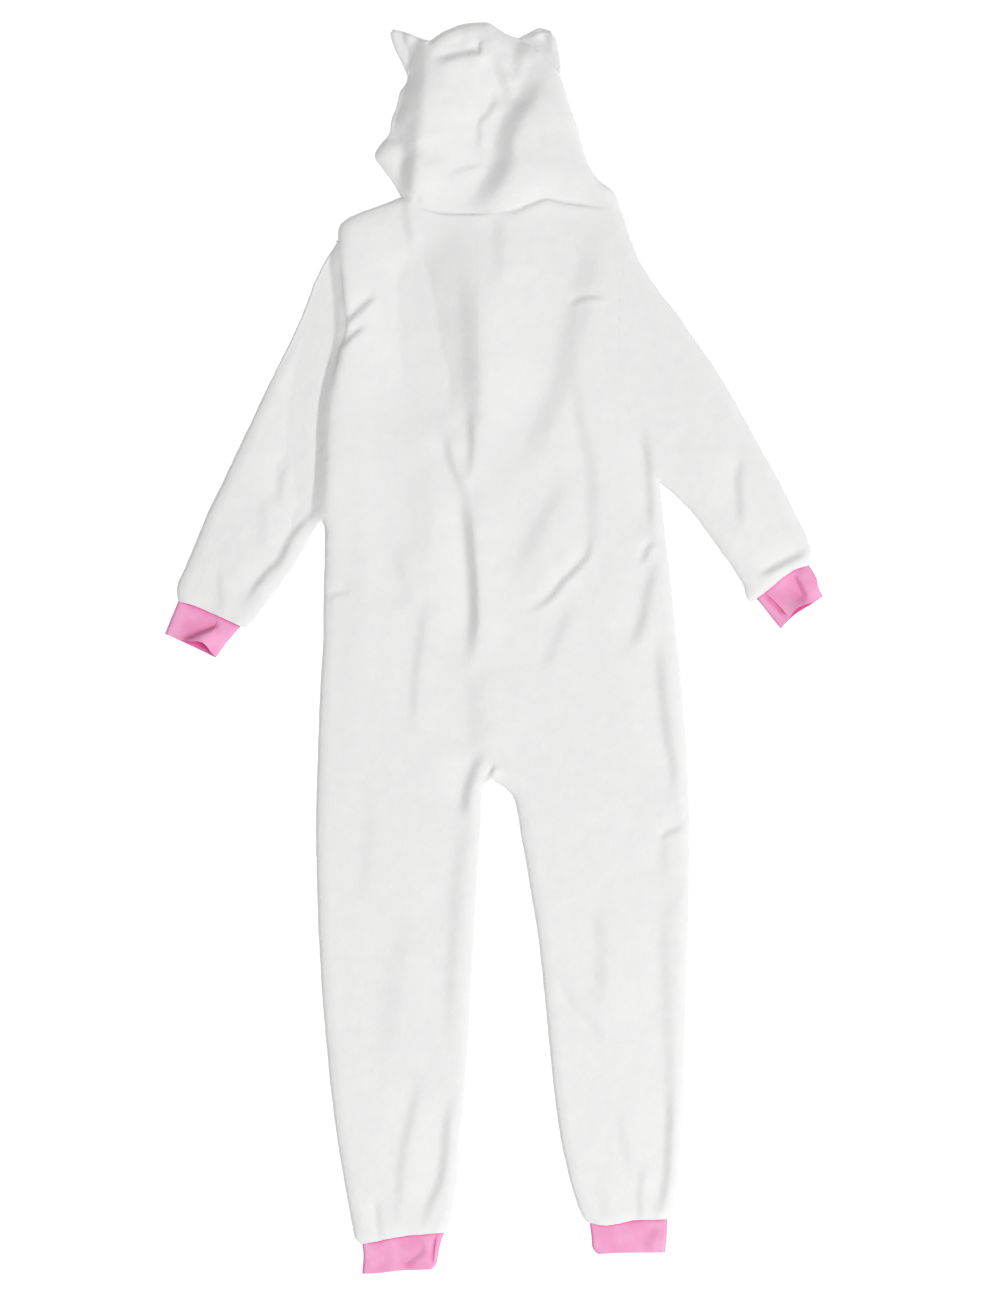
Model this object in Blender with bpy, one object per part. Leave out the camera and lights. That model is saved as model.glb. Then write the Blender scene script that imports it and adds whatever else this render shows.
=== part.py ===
"""A child's hooded plush jumpsuit, laid out flat with its back upward.

The cloth rests on the plane z = 0. +Y points to the hood and +X to the right of a person who looks
down at the back, so the wearer's left side is at -X. The origin is under the middle of the outline.
Every table is in millimetres. Meshes are made in metres.

Each piece is a wall of cloth between an outer and an inner grid of points. A grid fills an outline
on the floor, and its height rounds over the garment's edges and adds the folds.
"""

from collections import namedtuple

import bmesh
import bpy
import numpy as np

MM = 0.001

# Cloth and seams
FLEECE = 3.0  # wall of the plush fleece
JERSEY = 1.8  # wall of a cuff, which is jersey folded double
SEAM = 0.3  # clearance between two pieces where they are sewn
HALF_SEAM = SEAM / 2

# How high the cloth lies
BODY_TOP = 9.9  # two layers of fleece with little air between them
HOOD_TOP = 18.0  # the hood keeps the bulge of its crown
EAR_TOP = 9.0
EAR_WALL = 2.5
EAR_LOWEST = 6.4
CUFF_TOP = 6.8
CUFF_LOWEST = 5.2
HEM_DROP = 2.2  # a hem is pulled this much lower by its cuff
HEM_REACH = 11.0
FRONT_TOP = FLEECE  # upper face of what lies on the floor
BACK_BASE = FRONT_TOP + SEAM  # where the back starts, at a side seam
LOWEST_TOP = BACK_BASE + FLEECE + 0.5  # a trough rests on the layer below it
LOWEST_NEAR_EDGE = LOWEST_TOP + 1.4

# How far from its edge the cloth bends over
BODY_ROUND = 7.0
HOOD_ROUND = 12.0
EAR_ROUND = 4.0
CUFF_ROUND = 3.5
UNDER_ROUND = 3.0  # the same on the underside
UNDER_LIP = 1.5  # height of the front's edge face, below its upper face

# The hood begins to bulge at the neck, between these heights up the garment
NECK_Y = 518.0
CROWN_Y = 580.0

# Sections across body and legs, from the armpit level down: the centre seam splits at the crotch
Section = namedtuple("Section", "y left_inner right_inner")
INNER_SECTIONS = (
    Section(y=520.5, left_inner=-20, right_inner=-20),
    Section(y=300, left_inner=-20.5, right_inner=-20.5),
    Section(y=100, left_inner=-20, right_inner=-20),
    Section(y=0, left_inner=-17, right_inner=-17),
    Section(y=-62, left_inner=-12, right_inner=-12),
    Section(y=-130, left_inner=-5.5, right_inner=-5.5),
    Section(y=-158, left_inner=-3.6, right_inner=-3.6),
    Section(y=-161, left_inner=-7.5, right_inner=4),
    Section(y=-170, left_inner=-13.2, right_inner=15.6),
    Section(y=-178, left_inner=-14.2, right_inner=23),
    Section(y=-224, left_inner=-16.2, right_inner=32.4),
    Section(y=-290, left_inner=-20.4, right_inner=43.8),
    Section(y=-350, left_inner=-23.4, right_inner=53.4),
    Section(y=-410, left_inner=-27, right_inner=60),
    Section(y=-470, left_inner=-29.4, right_inner=66),
    Section(y=-530, left_inner=-34.8, right_inner=72),
    Section(y=-590, left_inner=-40, right_inner=80.4),
    Section(y=-638, left_inner=-43.5, right_inner=91.2),
    Section(y=-668, left_inner=-48, right_inner=100.2),
)
CROTCH_Y = -158

# Outlines seen from above, as rows of x, y
SHOULDER_LEFT = ((-112, 541), (-131, 533), (-155, 524.5), (-173, 517), (-184, 509))
SHOULDER_TIP_LEFT = ((-184, 509), (-187, 499), (-187.2, 488.4))
ARMHOLE_LEFT = (
    (-187.2, 488.4), (-181, 424), (-176.5, 382), (-186, 350), (-196, 300), (-203, 160),
)
SIDE_LEFT = (
    (-203, 160), (-203, 128), (-204, 82), (-205, 10), (-209, -62), (-211.5, -134), (-213.6, -224),
    (-212, -290), (-210, -350), (-206.4, -410), (-201.6, -470), (-195.6, -530), (-187.8, -590),
    (-180, -638), (-171, -686), (-166, -709), (-159.6, -715),
)
INNER_END_LEFT = ((-51.5, -688), (-53.5, -695), (-57.6, -701))
HEM_LEFT = ((-57.6, -701), (-100, -704.5), (-159.6, -715))
SHOULDER_RIGHT = ((152.4, 525.6), (158, 511), (161, 499))
ARMHOLE_RIGHT = ((161, 499), (151, 420), (152, 330), (166, 270), (199.2, 198))
SIDE_RIGHT = (
    (199.2, 198), (204, 154), (212.4, 82), (219.6, 10), (226.8, -62), (232.2, -134), (235.2, -224),
    (234.5, -290), (232.8, -350), (231, -410), (230, -470), (228.4, -530), (225, -590),
    (222, -638), (216.6, -668), (212.4, -682), (208.8, -685.2),
)
INNER_END_RIGHT = ((105.6, -680), (109, -686), (114, -690))
HEM_RIGHT = ((114, -690), (137, -692.4), (169, -686.5), (208.8, -685.2))
NECK_LEFT = ((-20, 520.5), (-60, 520.2), (-83, 524.5), (-112, 541))
NECK_RIGHT = (
    (-20, 520.5), (7, 521.5), (35, 530), (63, 537.5), (84, 533), (115, 529), (152.4, 525.6),
)
FRONT_NECK_LEFT = ((-112, 541), (-88, 514), (-36.3, 497.2))
FRONT_NECK_RIGHT = ((152.4, 525.6), (88, 515), (-3.7, 497.2))
CHIN_LEFT = ((-36.3, 497.2), (-20, 497.2))
CHIN_RIGHT = ((-3.7, 497.2), (-20, 497.2))

# Sleeves: the outer edge runs from the shoulder, the inner edge from the armpit, both to the cuff
SLEEVE_OUTER_LEFT = (
    (-187.2, 488.4), (-203, 463), (-215, 439), (-227, 407), (-240, 377), (-269, 318), (-290, 274),
    (-310, 232), (-329, 192), (-344.4, 160), (-359, 124), (-372, 94), (-380.4, 72), (-379.2, 56.4),
)
SLEEVE_INNER_LEFT = (
    (-203, 160), (-212.4, 145), (-227, 120), (-245, 89), (-263, 65), (-283, 38),
    (-293, 27), (-299, 24),
)
SLEEVE_HEM_LEFT = ((-379.2, 56.4), (-360, 51), (-339, 42), (-299, 24))
SLEEVE_OUTER_RIGHT = (
    (161, 499), (168, 481), (175.2, 463.2), (199, 427), (220, 401), (241, 370), (262, 341), (281, 310), (298, 280),
    (331, 220), (348, 190), (362.4, 160), (376, 132), (380.6, 114), (378, 99.6),
)
SLEEVE_INNER_RIGHT = (
    (199.2, 198), (218, 182), (238, 162), (256, 138), (271, 117), (287, 95), (299, 74), (304, 59),
    (309.6, 55.2),
)
SLEEVE_HEM_RIGHT = ((378, 99.6), (358, 92.4), (325, 66.5), (309.6, 55.2))

# Hood: its sides run from the neck to the crown, its seam up the back, its face edge underneath
HOOD_SIDE_LEFT = (
    (-112, 541), (-122.5, 559), (-135.6, 577), (-142, 586), (-142.8, 593), (-135.6, 605),
    (-126, 617), (-123.6, 631), (-117.6, 648), (-112.8, 666), (-105, 679), (-103.8, 686),
)
HOOD_CROWN_LEFT = (
    (-77, 728.4), (-65, 736.5), (-53, 742.8), (-35, 748.8), (-17.5, 750.6),
)
HOOD_SIDE_RIGHT = (
    (152.4, 525.6), (149, 537.5), (141.6, 549.6), (127, 560.5), (115.2, 577), (108, 597.6),
    (99.6, 627.6), (91.2, 651.6), (84, 675.6), (80, 687),
)
HOOD_CROWN_RIGHT = ((29, 730.8), (17, 736), (3.6, 744), (-7.2, 750), (-17.5, 750.6))
HOOD_SEAM = ((-20, 520.5), (-17.5, 708))
CROWN_BACK = ((-17.5, 708), (-17.5, 750.6))
CROWN_FRONT = ((-17.5, 750.6), (-17.5, 704))
FACE_LEFT = ((-20, 497.2), (-44, 540), (-61, 590), (-64, 640), (-50, 683), (-17.5, 704))
FACE_RIGHT = ((-20, 497.2), (6, 540), (24, 590), (28, 640), (15, 683), (-17.5, 704))

# Ears, each from its base on the hood to a short tip
Ear = namedtuple("Ear", "base upper lower tip")
EAR_LEFT = Ear(
    base=((-77, 728.4), (-89, 720), (-98.4, 705.6), (-103.8, 686)),
    upper=((-77, 728.4), (-89, 732), (-101, 737), (-113, 740.5), (-121, 742.8)),
    lower=((-103.8, 686), (-110.4, 701), (-120, 720), (-124.8, 737)),
    tip=((-121, 742.8), (-124.8, 737)),
)
EAR_RIGHT = Ear(
    base=((29, 730.8), (43, 721), (61, 708), (80, 687)),
    upper=((29, 730.8), (40, 737), (55, 743.8), (68, 740.5)),
    lower=((80, 687), (80.6, 700), (79, 712), (75.6, 729.6)),
    tip=((68, 740.5), (75.6, 729.6)),
)

# Cuffs, each from its seam to its mouth. gape draws the upper edge back and lifts it.
Cuff = namedtuple("Cuff", "seam outer inner mouth gape gape_at")
CUFFS = {
    "cuff_sleeve_left": Cuff(
        seam=((-378.6, 56.23), (-360, 51), (-339, 42), (-304, 26.25)),
        outer=((-378.6, 56.23), (-387, 36), (-394.6, 17)),
        inner=((-304, 26.25), (-313, 16), (-323, 4), (-334, -11.5)),
        mouth=((-394.6, 17), (-365, 3.5), (-334, -11.5)),
        gape=8.0,
        gape_at=0.68,
    ),
    "cuff_sleeve_right": Cuff(
        seam=((377.6, 99.46), (358, 92.4), (325, 66.5), (315, 59.16)),
        outer=((377.6, 99.46), (386.8, 84), (389.4, 72), (394.4, 62)),
        inner=((315, 59.16), (322, 51), (333.6, 36), (343.8, 23.5)),
        mouth=((394.4, 62), (383, 54), (359, 38.6), (343.8, 23.5)),
        gape=8.0,
        gape_at=0.5,
    ),
    "cuff_leg_left": Cuff(
        seam=((-60, -701.2), (-100, -704.5), (-158, -714.72)),
        outer=((-60, -701.2), (-65, -716.4), (-69.6, -739), (-74.4, -745)),
        inner=((-158, -714.72), (-156.5, -728), (-158, -750.4)),
        mouth=((-74.4, -745), (-112.8, -746.6), (-142.8, -750), (-158, -750.4)),
        gape=0.0,
        gape_at=0.5,
    ),
    "cuff_leg_right": Cuff(
        seam=((115, -690.1), (137, -692.4), (169, -686.5), (207.8, -685.23)),
        outer=((115, -690.1), (116.8, -704), (119, -721), (125, -727)),
        inner=((207.8, -685.23), (207.2, -704), (205.2, -724.8)),
        mouth=((125, -727), (151, -725.4), (205.2, -724.8)),
        gape=0.0,
        gape_at=0.5,
    ),
}

# Largest folds. ridge lifts the path itself, and roll lifts the cloth on the right of a path that
# runs down the garment and lowers it on the left.
Fold = namedtuple("Fold", "name width ridge roll path")
FOLDS = (
    Fold("centre_upper", 15, 0, 1.8, ((-41, 508), (-43, 382), (-38, 274), (-34, 214))),
    Fold("centre_lower", 8, -0.8, 3.2, ((-37, 212), (-32, 130), (-28, 58), (-28, -20))),
    Fold("centre_branch", 6, 0, 1.4, ((-58, 245), (-47, 202), (-36, 176))),
    Fold("right_upper", 16, 0, 2.0, ((126, 506), (107, 454), (94, 382), (82, 298), (66, 246))),
    Fold(
        "right_hook", 7, -0.6, 2.4,
        ((94, 305), (113, 238), (118, 178), (113, 124), (97, 91), (67, 61), (42, 47)),
    ),
    Fold("right_side", 6, -0.4, 2.0, ((177, 272), (182, 202), (186, 142), (187, 116))),
    Fold("right_waist", 7, -0.4, 2.2, ((192, 108), (185, 70), (175, 34), (164, -4))),
    Fold("right_hip", 8, 0, 2.0, ((197, 2), (202, -62), (207, -116), (216, -162))),
    Fold("left_thigh", 9, 0, 1.0, ((-89, 12), (-96, -60), (-101, -106))),
    Fold("crotch", 6, -0.8, 2.2, ((-19, -128), (-30, -158), (-34, -192))),
    Fold("armhole_crease_upper", 4, -1.8, 0, ((-145, 421), (-163, 403), (-177, 386))),
    Fold("armhole_crease_lower", 4, -1.5, 0, ((-157, 383), (-173, 367), (-182, 352))),
    Fold(
        "sleeve_left_top", 8, 0, 3.0,
        ((-195, 486), (-191, 430), (-187, 388), (-192, 355), (-203, 304), (-208, 240), (-211, 160)),
    ),
    Fold("sleeve_left_long", 7, -0.4, 2.0, ((-217, 168), (-245, 130), (-271, 91), (-298, 56))),
    Fold("sleeve_left_elbow", 7, -1.2, 0, ((-247, 236), (-256, 190), (-255, 160))),
    Fold("sleeve_right_cuff", 5.5, -2.2, 0, ((372, 119), (349, 103), (325, 87))),
    Fold("sleeve_right_elbow", 7, -0.6, 1.2, ((291, 226), (297, 178), (297, 138))),
    Fold(
        "hood_left_drop", 11, 0, 5.0,
        ((-84, 728), (-97, 682), (-101, 622), (-105, 580), (-103, 540)),
    ),
    Fold(
        "hood_right_trough", 12, -2.0, 4.2,
        ((46, 702), (36, 658), (22, 616), (10, 580), (-12, 534)),
    ),
    Fold("hood_tuck", 5, -2.6, 0, ((-62, 707), (-38, 715), (-17, 718))),
    Fold("hood_crease", 5.5, -1.8, 0, ((4, 666), (-7, 640), (-18, 622), (-21, 596))),
    Fold("hood_fork", 6, -1.8, 0, ((2, 706), (10, 682), (15, 660))),
    Fold("neck_right", 6, -0.6, 3.2, ((4, 521), (37, 530), (61, 537), (97, 532), (140, 525))),
    Fold("ear_right_pit", 6.5, -3.4, 0, ((61, 732), (59, 704))),
    Fold("ear_left_pit", 7, -2.6, 0, ((-116, 738), (-97, 708))),
    Fold("leg_left_inner", 11, 0, 1.4, ((-64, -520), (-76, -600), (-92, -690))),
    Fold("leg_left_hem", 5, -1.2, 0, ((-120, -650), (-121, -706))),
    Fold("leg_right_knee", 12, 0, 1.0, ((90, -330), (108, -400), (140, -455))),
    Fold("leg_right_outer", 8, 0, 1.4, ((208, -560), (203, -620), (190, -684))),
    Fold("cuff_left_dent", 5, -1.8, 0, ((-324, 32), (-346, 20), (-372, 10))),
    Fold("cuff_right_dent", 5, -1.8, 0, ((362, 86), (371, 72), (376, 60))),
)

# The front, which is underneath, closes with buttons on a band
BAND_HALF_WIDTH = 16.0
BAND_END_Y = -94.0
BAND_POINT_Y = -105.0
BUTTON_COUNT = 6
BUTTON_TOP_Y = 478.0
BUTTON_PITCH = 104.0
BUTTON_RADIUS = 9.0
BUTTON_THICK = 1.7
BUTTON_RECESS = 2.0
BUTTON_SIDES = 20

# Finish: linear colour and roughness
FLEECE_WHITE = ("fleece_white", (0.86, 0.86, 0.85), 0.95)
JERSEY_PINK = ("jersey_pink", (0.87, 0.36, 0.62), 0.8)
BUTTON_WHITE = ("button_white", (0.82, 0.82, 0.8), 0.35)

# Grid density
EDGE_STEPS = (HALF_SEAM, 1.2, 3.4, BODY_ROUND)  # points near an edge, by distance from it
HOOD_STEPS = (HALF_SEAM, 1.6, 5.5, HOOD_ROUND)
UNDER_STEPS = (0.8, UNDER_ROUND + HALF_SEAM)
CURVE_STEPS = 12
DRAWN_WITHIN = 90.0  # how far into a piece its columns are drawn towards the stations of a seam


def smooth(points):
    """Points along a smooth curve through the given ones."""
    points = np.array(points, float)
    if len(points) == 2:
        return points[0] + np.linspace(0, 1, 2 * CURVE_STEPS)[:, None] * (points[1] - points[0])
    knots = np.r_[0, np.cumsum(np.sqrt(np.linalg.norm(np.diff(points, axis=0), axis=1)))]
    slopes = np.gradient(points, knots, axis=0)
    spans = [np.linspace(a, b, CURVE_STEPS, endpoint=False) for a, b in zip(knots, knots[1:])]
    t = np.r_[np.concatenate(spans), knots[-1]]
    i = np.clip(np.searchsorted(knots, t, side="right") - 1, 0, len(points) - 2)
    h = (knots[i + 1] - knots[i])[:, None]
    s = (t - knots[i])[:, None] / h
    from_start = (2 * s**3 - 3 * s**2 + 1) * points[i] + (s**3 - 2 * s**2 + s) * h * slopes[i]
    to_end = (3 * s**2 - 2 * s**3) * points[i + 1] + (s**3 - s**2) * h * slopes[i + 1]
    return from_start + to_end


Seam = namedtuple("Seam", "points")


class Line:
    """A curve through tables of points, which gives the point at each share of its length.

    A table marked as a seam stays straight between its points. These are the line's stations, and
    the pieces on both sides of the seam keep a vertex at each.
    """

    def __init__(self, *tables, by_height=False):
        runs = [np.array(t.points, float) if isinstance(t, Seam) else smooth(t) for t in tables]
        self.points = np.vstack(runs)
        if by_height:
            walked = self.points[0, 1] - self.points[:, 1]
        else:
            walked = np.r_[0, np.cumsum(np.linalg.norm(np.diff(self.points, axis=0), axis=1))]
        self.length = walked[-1]
        self.shares = walked / walked[-1]
        kept = [point for t in tables if isinstance(t, Seam) for point in t.points]
        self.stations = [self.share_at(point) for point in kept]

    def share_at(self, point):
        """Share of the line at one of its own points."""
        return self.shares[np.linalg.norm(self.points - point, axis=1).argmin()]

    def __call__(self, t):
        return np.stack([np.interp(t, self.shares, self.points[:, k]) for k in (0, 1)], axis=-1)


class Patch:
    """Fills four lines. near and far are at u = 0 and 1, start and end at v = 0 and 1."""

    def __init__(self, start, end, near, far):
        self.start, self.end, self.near, self.far = start, end, near, far

    def __call__(self, u, v):
        a, b = np.broadcast_arrays(u, v)
        u, v = a[..., None], b[..., None]
        across = self.start(a) * (1 - v) + self.end(a) * v
        down = self.near(b) * (1 - u) + self.far(b) * u
        first = self.start(0.0) * (1 - u) + self.start(1.0) * u
        last = self.end(0.0) * (1 - u) + self.end(1.0) * u
        return across + down - first * (1 - v) - last * v


def snap(values, stations):
    """Moves the nearest free value to each station that lies between the first and the last."""
    values = np.array(values)
    free = list(range(1, len(values) - 1))
    for station in stations:
        if values[0] < station < values[-1]:
            pick = min(free, key=lambda k: abs(values[k] - station))
            values[pick] = station
            free.remove(pick)
    return np.sort(values)


def spread(width, count, near_steps, far_steps):
    """Shares of a width: close together by each edge, and count even steps between."""
    middle = np.linspace(near_steps[-1], width - far_steps[-1], count + 1)[1:-1]
    far_end = width - np.array(far_steps)[::-1]
    return np.r_[near_steps, middle, far_end] / width


def grid(plan, rows, count, near_steps, far_steps):
    """Plan points of a grid whose columns keep their distance from both edges.

    Rows go through the stations of the near and far lines. Columns are drawn to the stations of
    the start and end lines.
    """
    rows = snap(rows, plan.near.stations + plan.far.stations)
    widths = np.linalg.norm(plan.near(rows) - plan.far(rows), axis=-1)
    u = np.array([spread(width, count, near_steps, far_steps) for width in widths])
    even = u.copy()
    for row, stations in ((0, plan.start.stations), (-1, plan.end.stations)):
        shift = snap(even[row], stations) - even[row]
        apart = abs(rows - rows[row]) * plan.near.length
        u += shift * np.clip(1 - apart / DRAWN_WITHIN, 0, 1)[:, None]
    return plan(u, rows[:, None])


def edge_field(points, edges, towards):
    """Distance of each point from the nearest edge, and the direction away from that edge.

    On the edge itself the direction is across it, to the side of the point in towards.
    """
    flat = points.reshape(-1, 2)
    aim = np.broadcast_to(towards, points.shape).reshape(-1, 2)
    starts = np.vstack([edge[:-1] for edge in edges])
    runs = np.vstack([np.diff(edge, axis=0) for edge in edges])
    squared = np.maximum((runs**2).sum(1), 1e-12)
    apart = flat[:, None] - starts
    share = np.clip((apart * runs).sum(-1) / squared, 0, 1)
    nearest = starts + share[..., None] * runs
    distances = np.linalg.norm(flat[:, None] - nearest, axis=-1)
    pick = distances.argmin(1)
    index = np.arange(len(flat))
    distance = distances[index, pick]
    away = flat - nearest[index, pick]
    across = np.stack([-runs[pick, 1], runs[pick, 0]], axis=-1)
    across *= np.sign((across * (aim - flat)).sum(1))[:, None]
    away = np.where(distance[:, None] > SEAM, away, across)
    away /= np.maximum(np.linalg.norm(away, axis=1), 1e-9)[:, None]
    return distance.reshape(points.shape[:-1]), away.reshape(points.shape)


def fold_height(points):
    """What all the folds add to the height at each point."""
    flat = points.reshape(-1, 2)
    total = np.zeros(len(flat))
    for fold in FOLDS:
        line = smooth(fold.path)
        reach = 4 * fold.width
        close = ((flat > line.min(0) - reach) & (flat < line.max(0) + reach)).all(1)
        if not close.any():
            continue
        here = flat[close]
        runs = np.diff(line, axis=0)
        lengths = np.linalg.norm(runs, axis=1)
        apart = here[:, None] - line[:-1]
        share = np.clip((apart * runs).sum(-1) / lengths**2, 0, 1)
        distances = np.linalg.norm(apart - share[..., None] * runs, axis=-1)
        pick = distances.argmin(1)
        index = np.arange(len(here))
        run, gap = runs[pick], apart[index, pick]
        side = np.sign(run[:, 0] * gap[:, 1] - run[:, 1] * gap[:, 0])
        before = np.r_[0, np.cumsum(lengths)]
        t = (before[pick] + share[index, pick] * lengths[pick]) / before[-1]
        fade = np.sin(np.pi * np.clip(t, 0, 1)) ** 0.7
        s = side * distances[index, pick] / fold.width
        bump = fold.ridge * np.exp(-(s**2))
        turn = fold.roll * s * np.exp(0.5 * (1 - s**2))
        total[close] += fade * (bump + turn)
    return total.reshape(points.shape[:-1])


def hood_share(points):
    """0 on the body and 1 on the hood, changing smoothly at the neck."""
    t = np.clip((points[..., 1] - NECK_Y) / (CROWN_Y - NECK_Y), 0, 1)
    return t * t * (3 - 2 * t)


def hem_drop(points, hems):
    """How much the cuffs pull the cloth down beside the hems."""
    if not hems:
        return 0.0
    distance, _ = edge_field(points, hems, (0, 0))
    return HEM_DROP * np.clip(1 - distance / HEM_REACH, 0, 1) ** 2


def set_in(points, away, amount, seams, towards):
    """Points of an inner face: moved in from a bent edge, but never across a seam."""
    shift = away * amount[..., None]
    distance, clear = edge_field(points, seams, towards)
    room = np.maximum(distance - HALF_SEAM, 0)
    across = np.maximum(-(shift * clear).sum(-1) - room, 0)
    return points + shift + clear * across[..., None]


def over_layer(points, edges, seams, hems, towards):
    """Outer and inner points of the upper layer of the body, the sleeves and the hood."""
    share = hood_share(points)
    reach = BODY_ROUND + (HOOD_ROUND - BODY_ROUND) * share
    top = BODY_TOP + (HOOD_TOP - BODY_TOP) * share + fold_height(points) - hem_drop(points, hems)
    distance, away = edge_field(points, edges, towards)
    distance = np.maximum(distance - HALF_SEAM, 0)
    lowest = np.where(distance < reach, LOWEST_NEAR_EDGE, LOWEST_TOP)
    top = np.maximum(top, lowest)
    level = np.clip(1 - distance / reach, 0, 1)
    inner_plan = set_in(points, away, FLEECE * level, seams, towards)
    return bent_over(points, inner_plan, top, BACK_BASE, FLEECE, level)


def bent_over(points, inner_plan, top, base, wall, level):
    """A layer that rises from base at its edge, where level is 1, to top."""
    rise = np.sqrt(1 - level**2)
    outer = np.dstack([points, base + (top - base) * rise])
    inner = np.dstack([inner_plan, base + (top - wall - base) * rise])
    return outer, inner


def under_layer(points, edges, seams, towards, wall, lip, reach):
    """The layer on the floor. Its upper edge is at the wall's height and its lower edge is bent."""
    distance, away = edge_field(points, edges, towards)
    distance = np.maximum(distance - HALF_SEAM, 0)
    lift = 1 - np.sqrt(1 - np.clip(1 - distance / UNDER_ROUND, 0, 1) ** 2)
    outer = np.dstack([points, lip * lift])
    amount = wall * np.clip(1 - distance / reach, 0, 1)
    inner_plan = set_in(points, away, amount, seams, towards)
    inner = np.dstack([inner_plan, np.full(distance.shape, wall)])
    return outer, inner


def cloth_material(finish):
    """The Principled material of one finish, made once."""
    name, colour, roughness = finish
    material = bpy.data.materials.get(name)
    if material is None:
        material = bpy.data.materials.new(name)
        material.use_nodes = True
        shader = material.node_tree.nodes["Principled BSDF"]
        shader.inputs["Base Color"].default_value = (*colour, 1)
        shader.inputs["Roughness"].default_value = roughness
        shader.inputs["Metallic"].default_value = 0
    return material


def place(name, mesh, finish):
    """Adds the mesh to the scene as one named piece."""
    mesh.materials.append(cloth_material(finish))
    mesh.shade_smooth()
    mesh.set_sharp_from_angle(angle=np.radians(50))
    piece = bpy.data.objects.new(name, mesh)
    bpy.context.scene.collection.objects.link(piece)
    return piece


def quads(grid_points, wrap):
    """The mesh's vertices and the quads between rows and columns of a grid."""
    rows, columns = len(grid_points), len(grid_points[0])
    last = columns if wrap else columns - 1
    for i in range(rows - 1):
        for j in range(last):
            k = (j + 1) % columns
            yield grid_points[i][j], grid_points[i + 1][j], grid_points[i + 1][k], grid_points[i][k]


def wall_piece(name, outer, inner, finish, wrap=False):
    """A closed wall between two grids of the same size. wrap closes each row into a ring."""
    mesh = bmesh.new()
    sides = [
        [[mesh.verts.new(point * MM) for point in row] for row in surface]
        for surface in (outer, inner)
    ]
    for surface in sides:
        for corners in quads(surface, wrap):
            mesh.faces.new(corners)
    rims = [[sides[0][0], sides[1][0]], [sides[0][-1], sides[1][-1]]]
    if not wrap:
        rims += [[[row[k] for row in surface] for surface in sides] for k in (0, -1)]
    for rim in rims:
        for corners in quads(rim, wrap and len(rim[0]) == len(sides[0][0])):
            mesh.faces.new(corners)
    bmesh.ops.recalc_face_normals(mesh, faces=mesh.faces)
    data = bpy.data.meshes.new(name)
    mesh.to_mesh(data)
    mesh.free()
    return place(name, data, finish)


def inner_line(side):
    """The centre seam and then the inseam of the left or right half."""
    rows = [(getattr(section, side + "_inner"), section.y) for section in INNER_SECTIONS]
    split = [y for _, y in rows].index(CROTCH_Y)
    return rows[: split + 1], rows[split:]


def body_lines():
    """The boundary lines of both halves of body and legs."""
    lines = {}
    for side in ("left", "right"):
        centre, inseam = inner_line(side)
        if side == "left":
            inseam += list(INNER_END_LEFT)
            top = Line(Seam(NECK_LEFT), SHOULDER_LEFT)
            outer = Line(
                SHOULDER_TIP_LEFT, Seam(ARMHOLE_LEFT), SIDE_LEFT, by_height=True,
            )
        else:
            inseam += list(INNER_END_RIGHT)
            top = Line(Seam(NECK_RIGHT))
            outer = Line(SHOULDER_RIGHT, Seam(ARMHOLE_RIGHT), SIDE_RIGHT, by_height=True)
        lines[side] = {
            "centre": smooth(centre),
            "inseam_table": inseam,
            "inseam": smooth(inseam),
            "inner": Line(centre, inseam, by_height=True),
            "outer": outer,
            "top": top,
            "hem": Line(Seam(HEM_LEFT if side == "left" else HEM_RIGHT)),
        }
    return lines


def garment_edges(lines):
    """Every line along which the laid cloth bends over to the floor."""
    outlines = (
        SHOULDER_LEFT, SHOULDER_TIP_LEFT, SIDE_LEFT, SHOULDER_RIGHT, SIDE_RIGHT,
        SLEEVE_OUTER_LEFT, SLEEVE_INNER_LEFT, SLEEVE_OUTER_RIGHT, SLEEVE_INNER_RIGHT,
        HOOD_SIDE_LEFT, HOOD_CROWN_LEFT, HOOD_SIDE_RIGHT, HOOD_CROWN_RIGHT,
    )
    straight = (EAR_LEFT.base, EAR_RIGHT.base)
    edges = [smooth(outline) for outline in outlines] + [np.array(run) for run in straight]
    return edges + [half["inseam"] for half in lines.values()]


def body_rows(top_y, hem_y, steps):
    """Shares down a body half: close at the neck, the crotch and the hem."""
    near_top = [top_y - step for step in EDGE_STEPS]
    torso = np.linspace(top_y - 22, -128, steps[0])
    crotch = [-146, -156.5, -159.5, -163, -170, -178, -192]
    leg = np.linspace(-222, hem_y + 34, steps[1])
    near_hem = [hem_y + step for step in (17, 9, 4, HALF_SEAM)]
    heights = np.r_[near_top, torso, crotch, leg, near_hem]
    return (top_y - heights) / (top_y - hem_y)


def back_half(side, lines, edges):
    """One half of the back, from shoulder to ankle, over the front."""
    half = lines[side]
    plan = Patch(half["top"], half["hem"], half["inner"], half["outer"])
    rows = body_rows(half["centre"][0, 1], half["hem"].points[0, 1], (22, 14))
    points = grid(plan, rows, 8, EDGE_STEPS, EDGE_STEPS)
    towards = points.mean(1, keepdims=True)
    hem = half["hem"].points
    armhole = np.array(ARMHOLE_LEFT if side == "left" else ARMHOLE_RIGHT)
    neck = np.array(NECK_LEFT if side == "left" else NECK_RIGHT)
    seams = [half["centre"], armhole, neck, hem]
    outer, inner = over_layer(points, edges, seams, [hem], towards)
    return wall_piece("back_" + side, outer, inner, FLEECE_WHITE)


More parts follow.
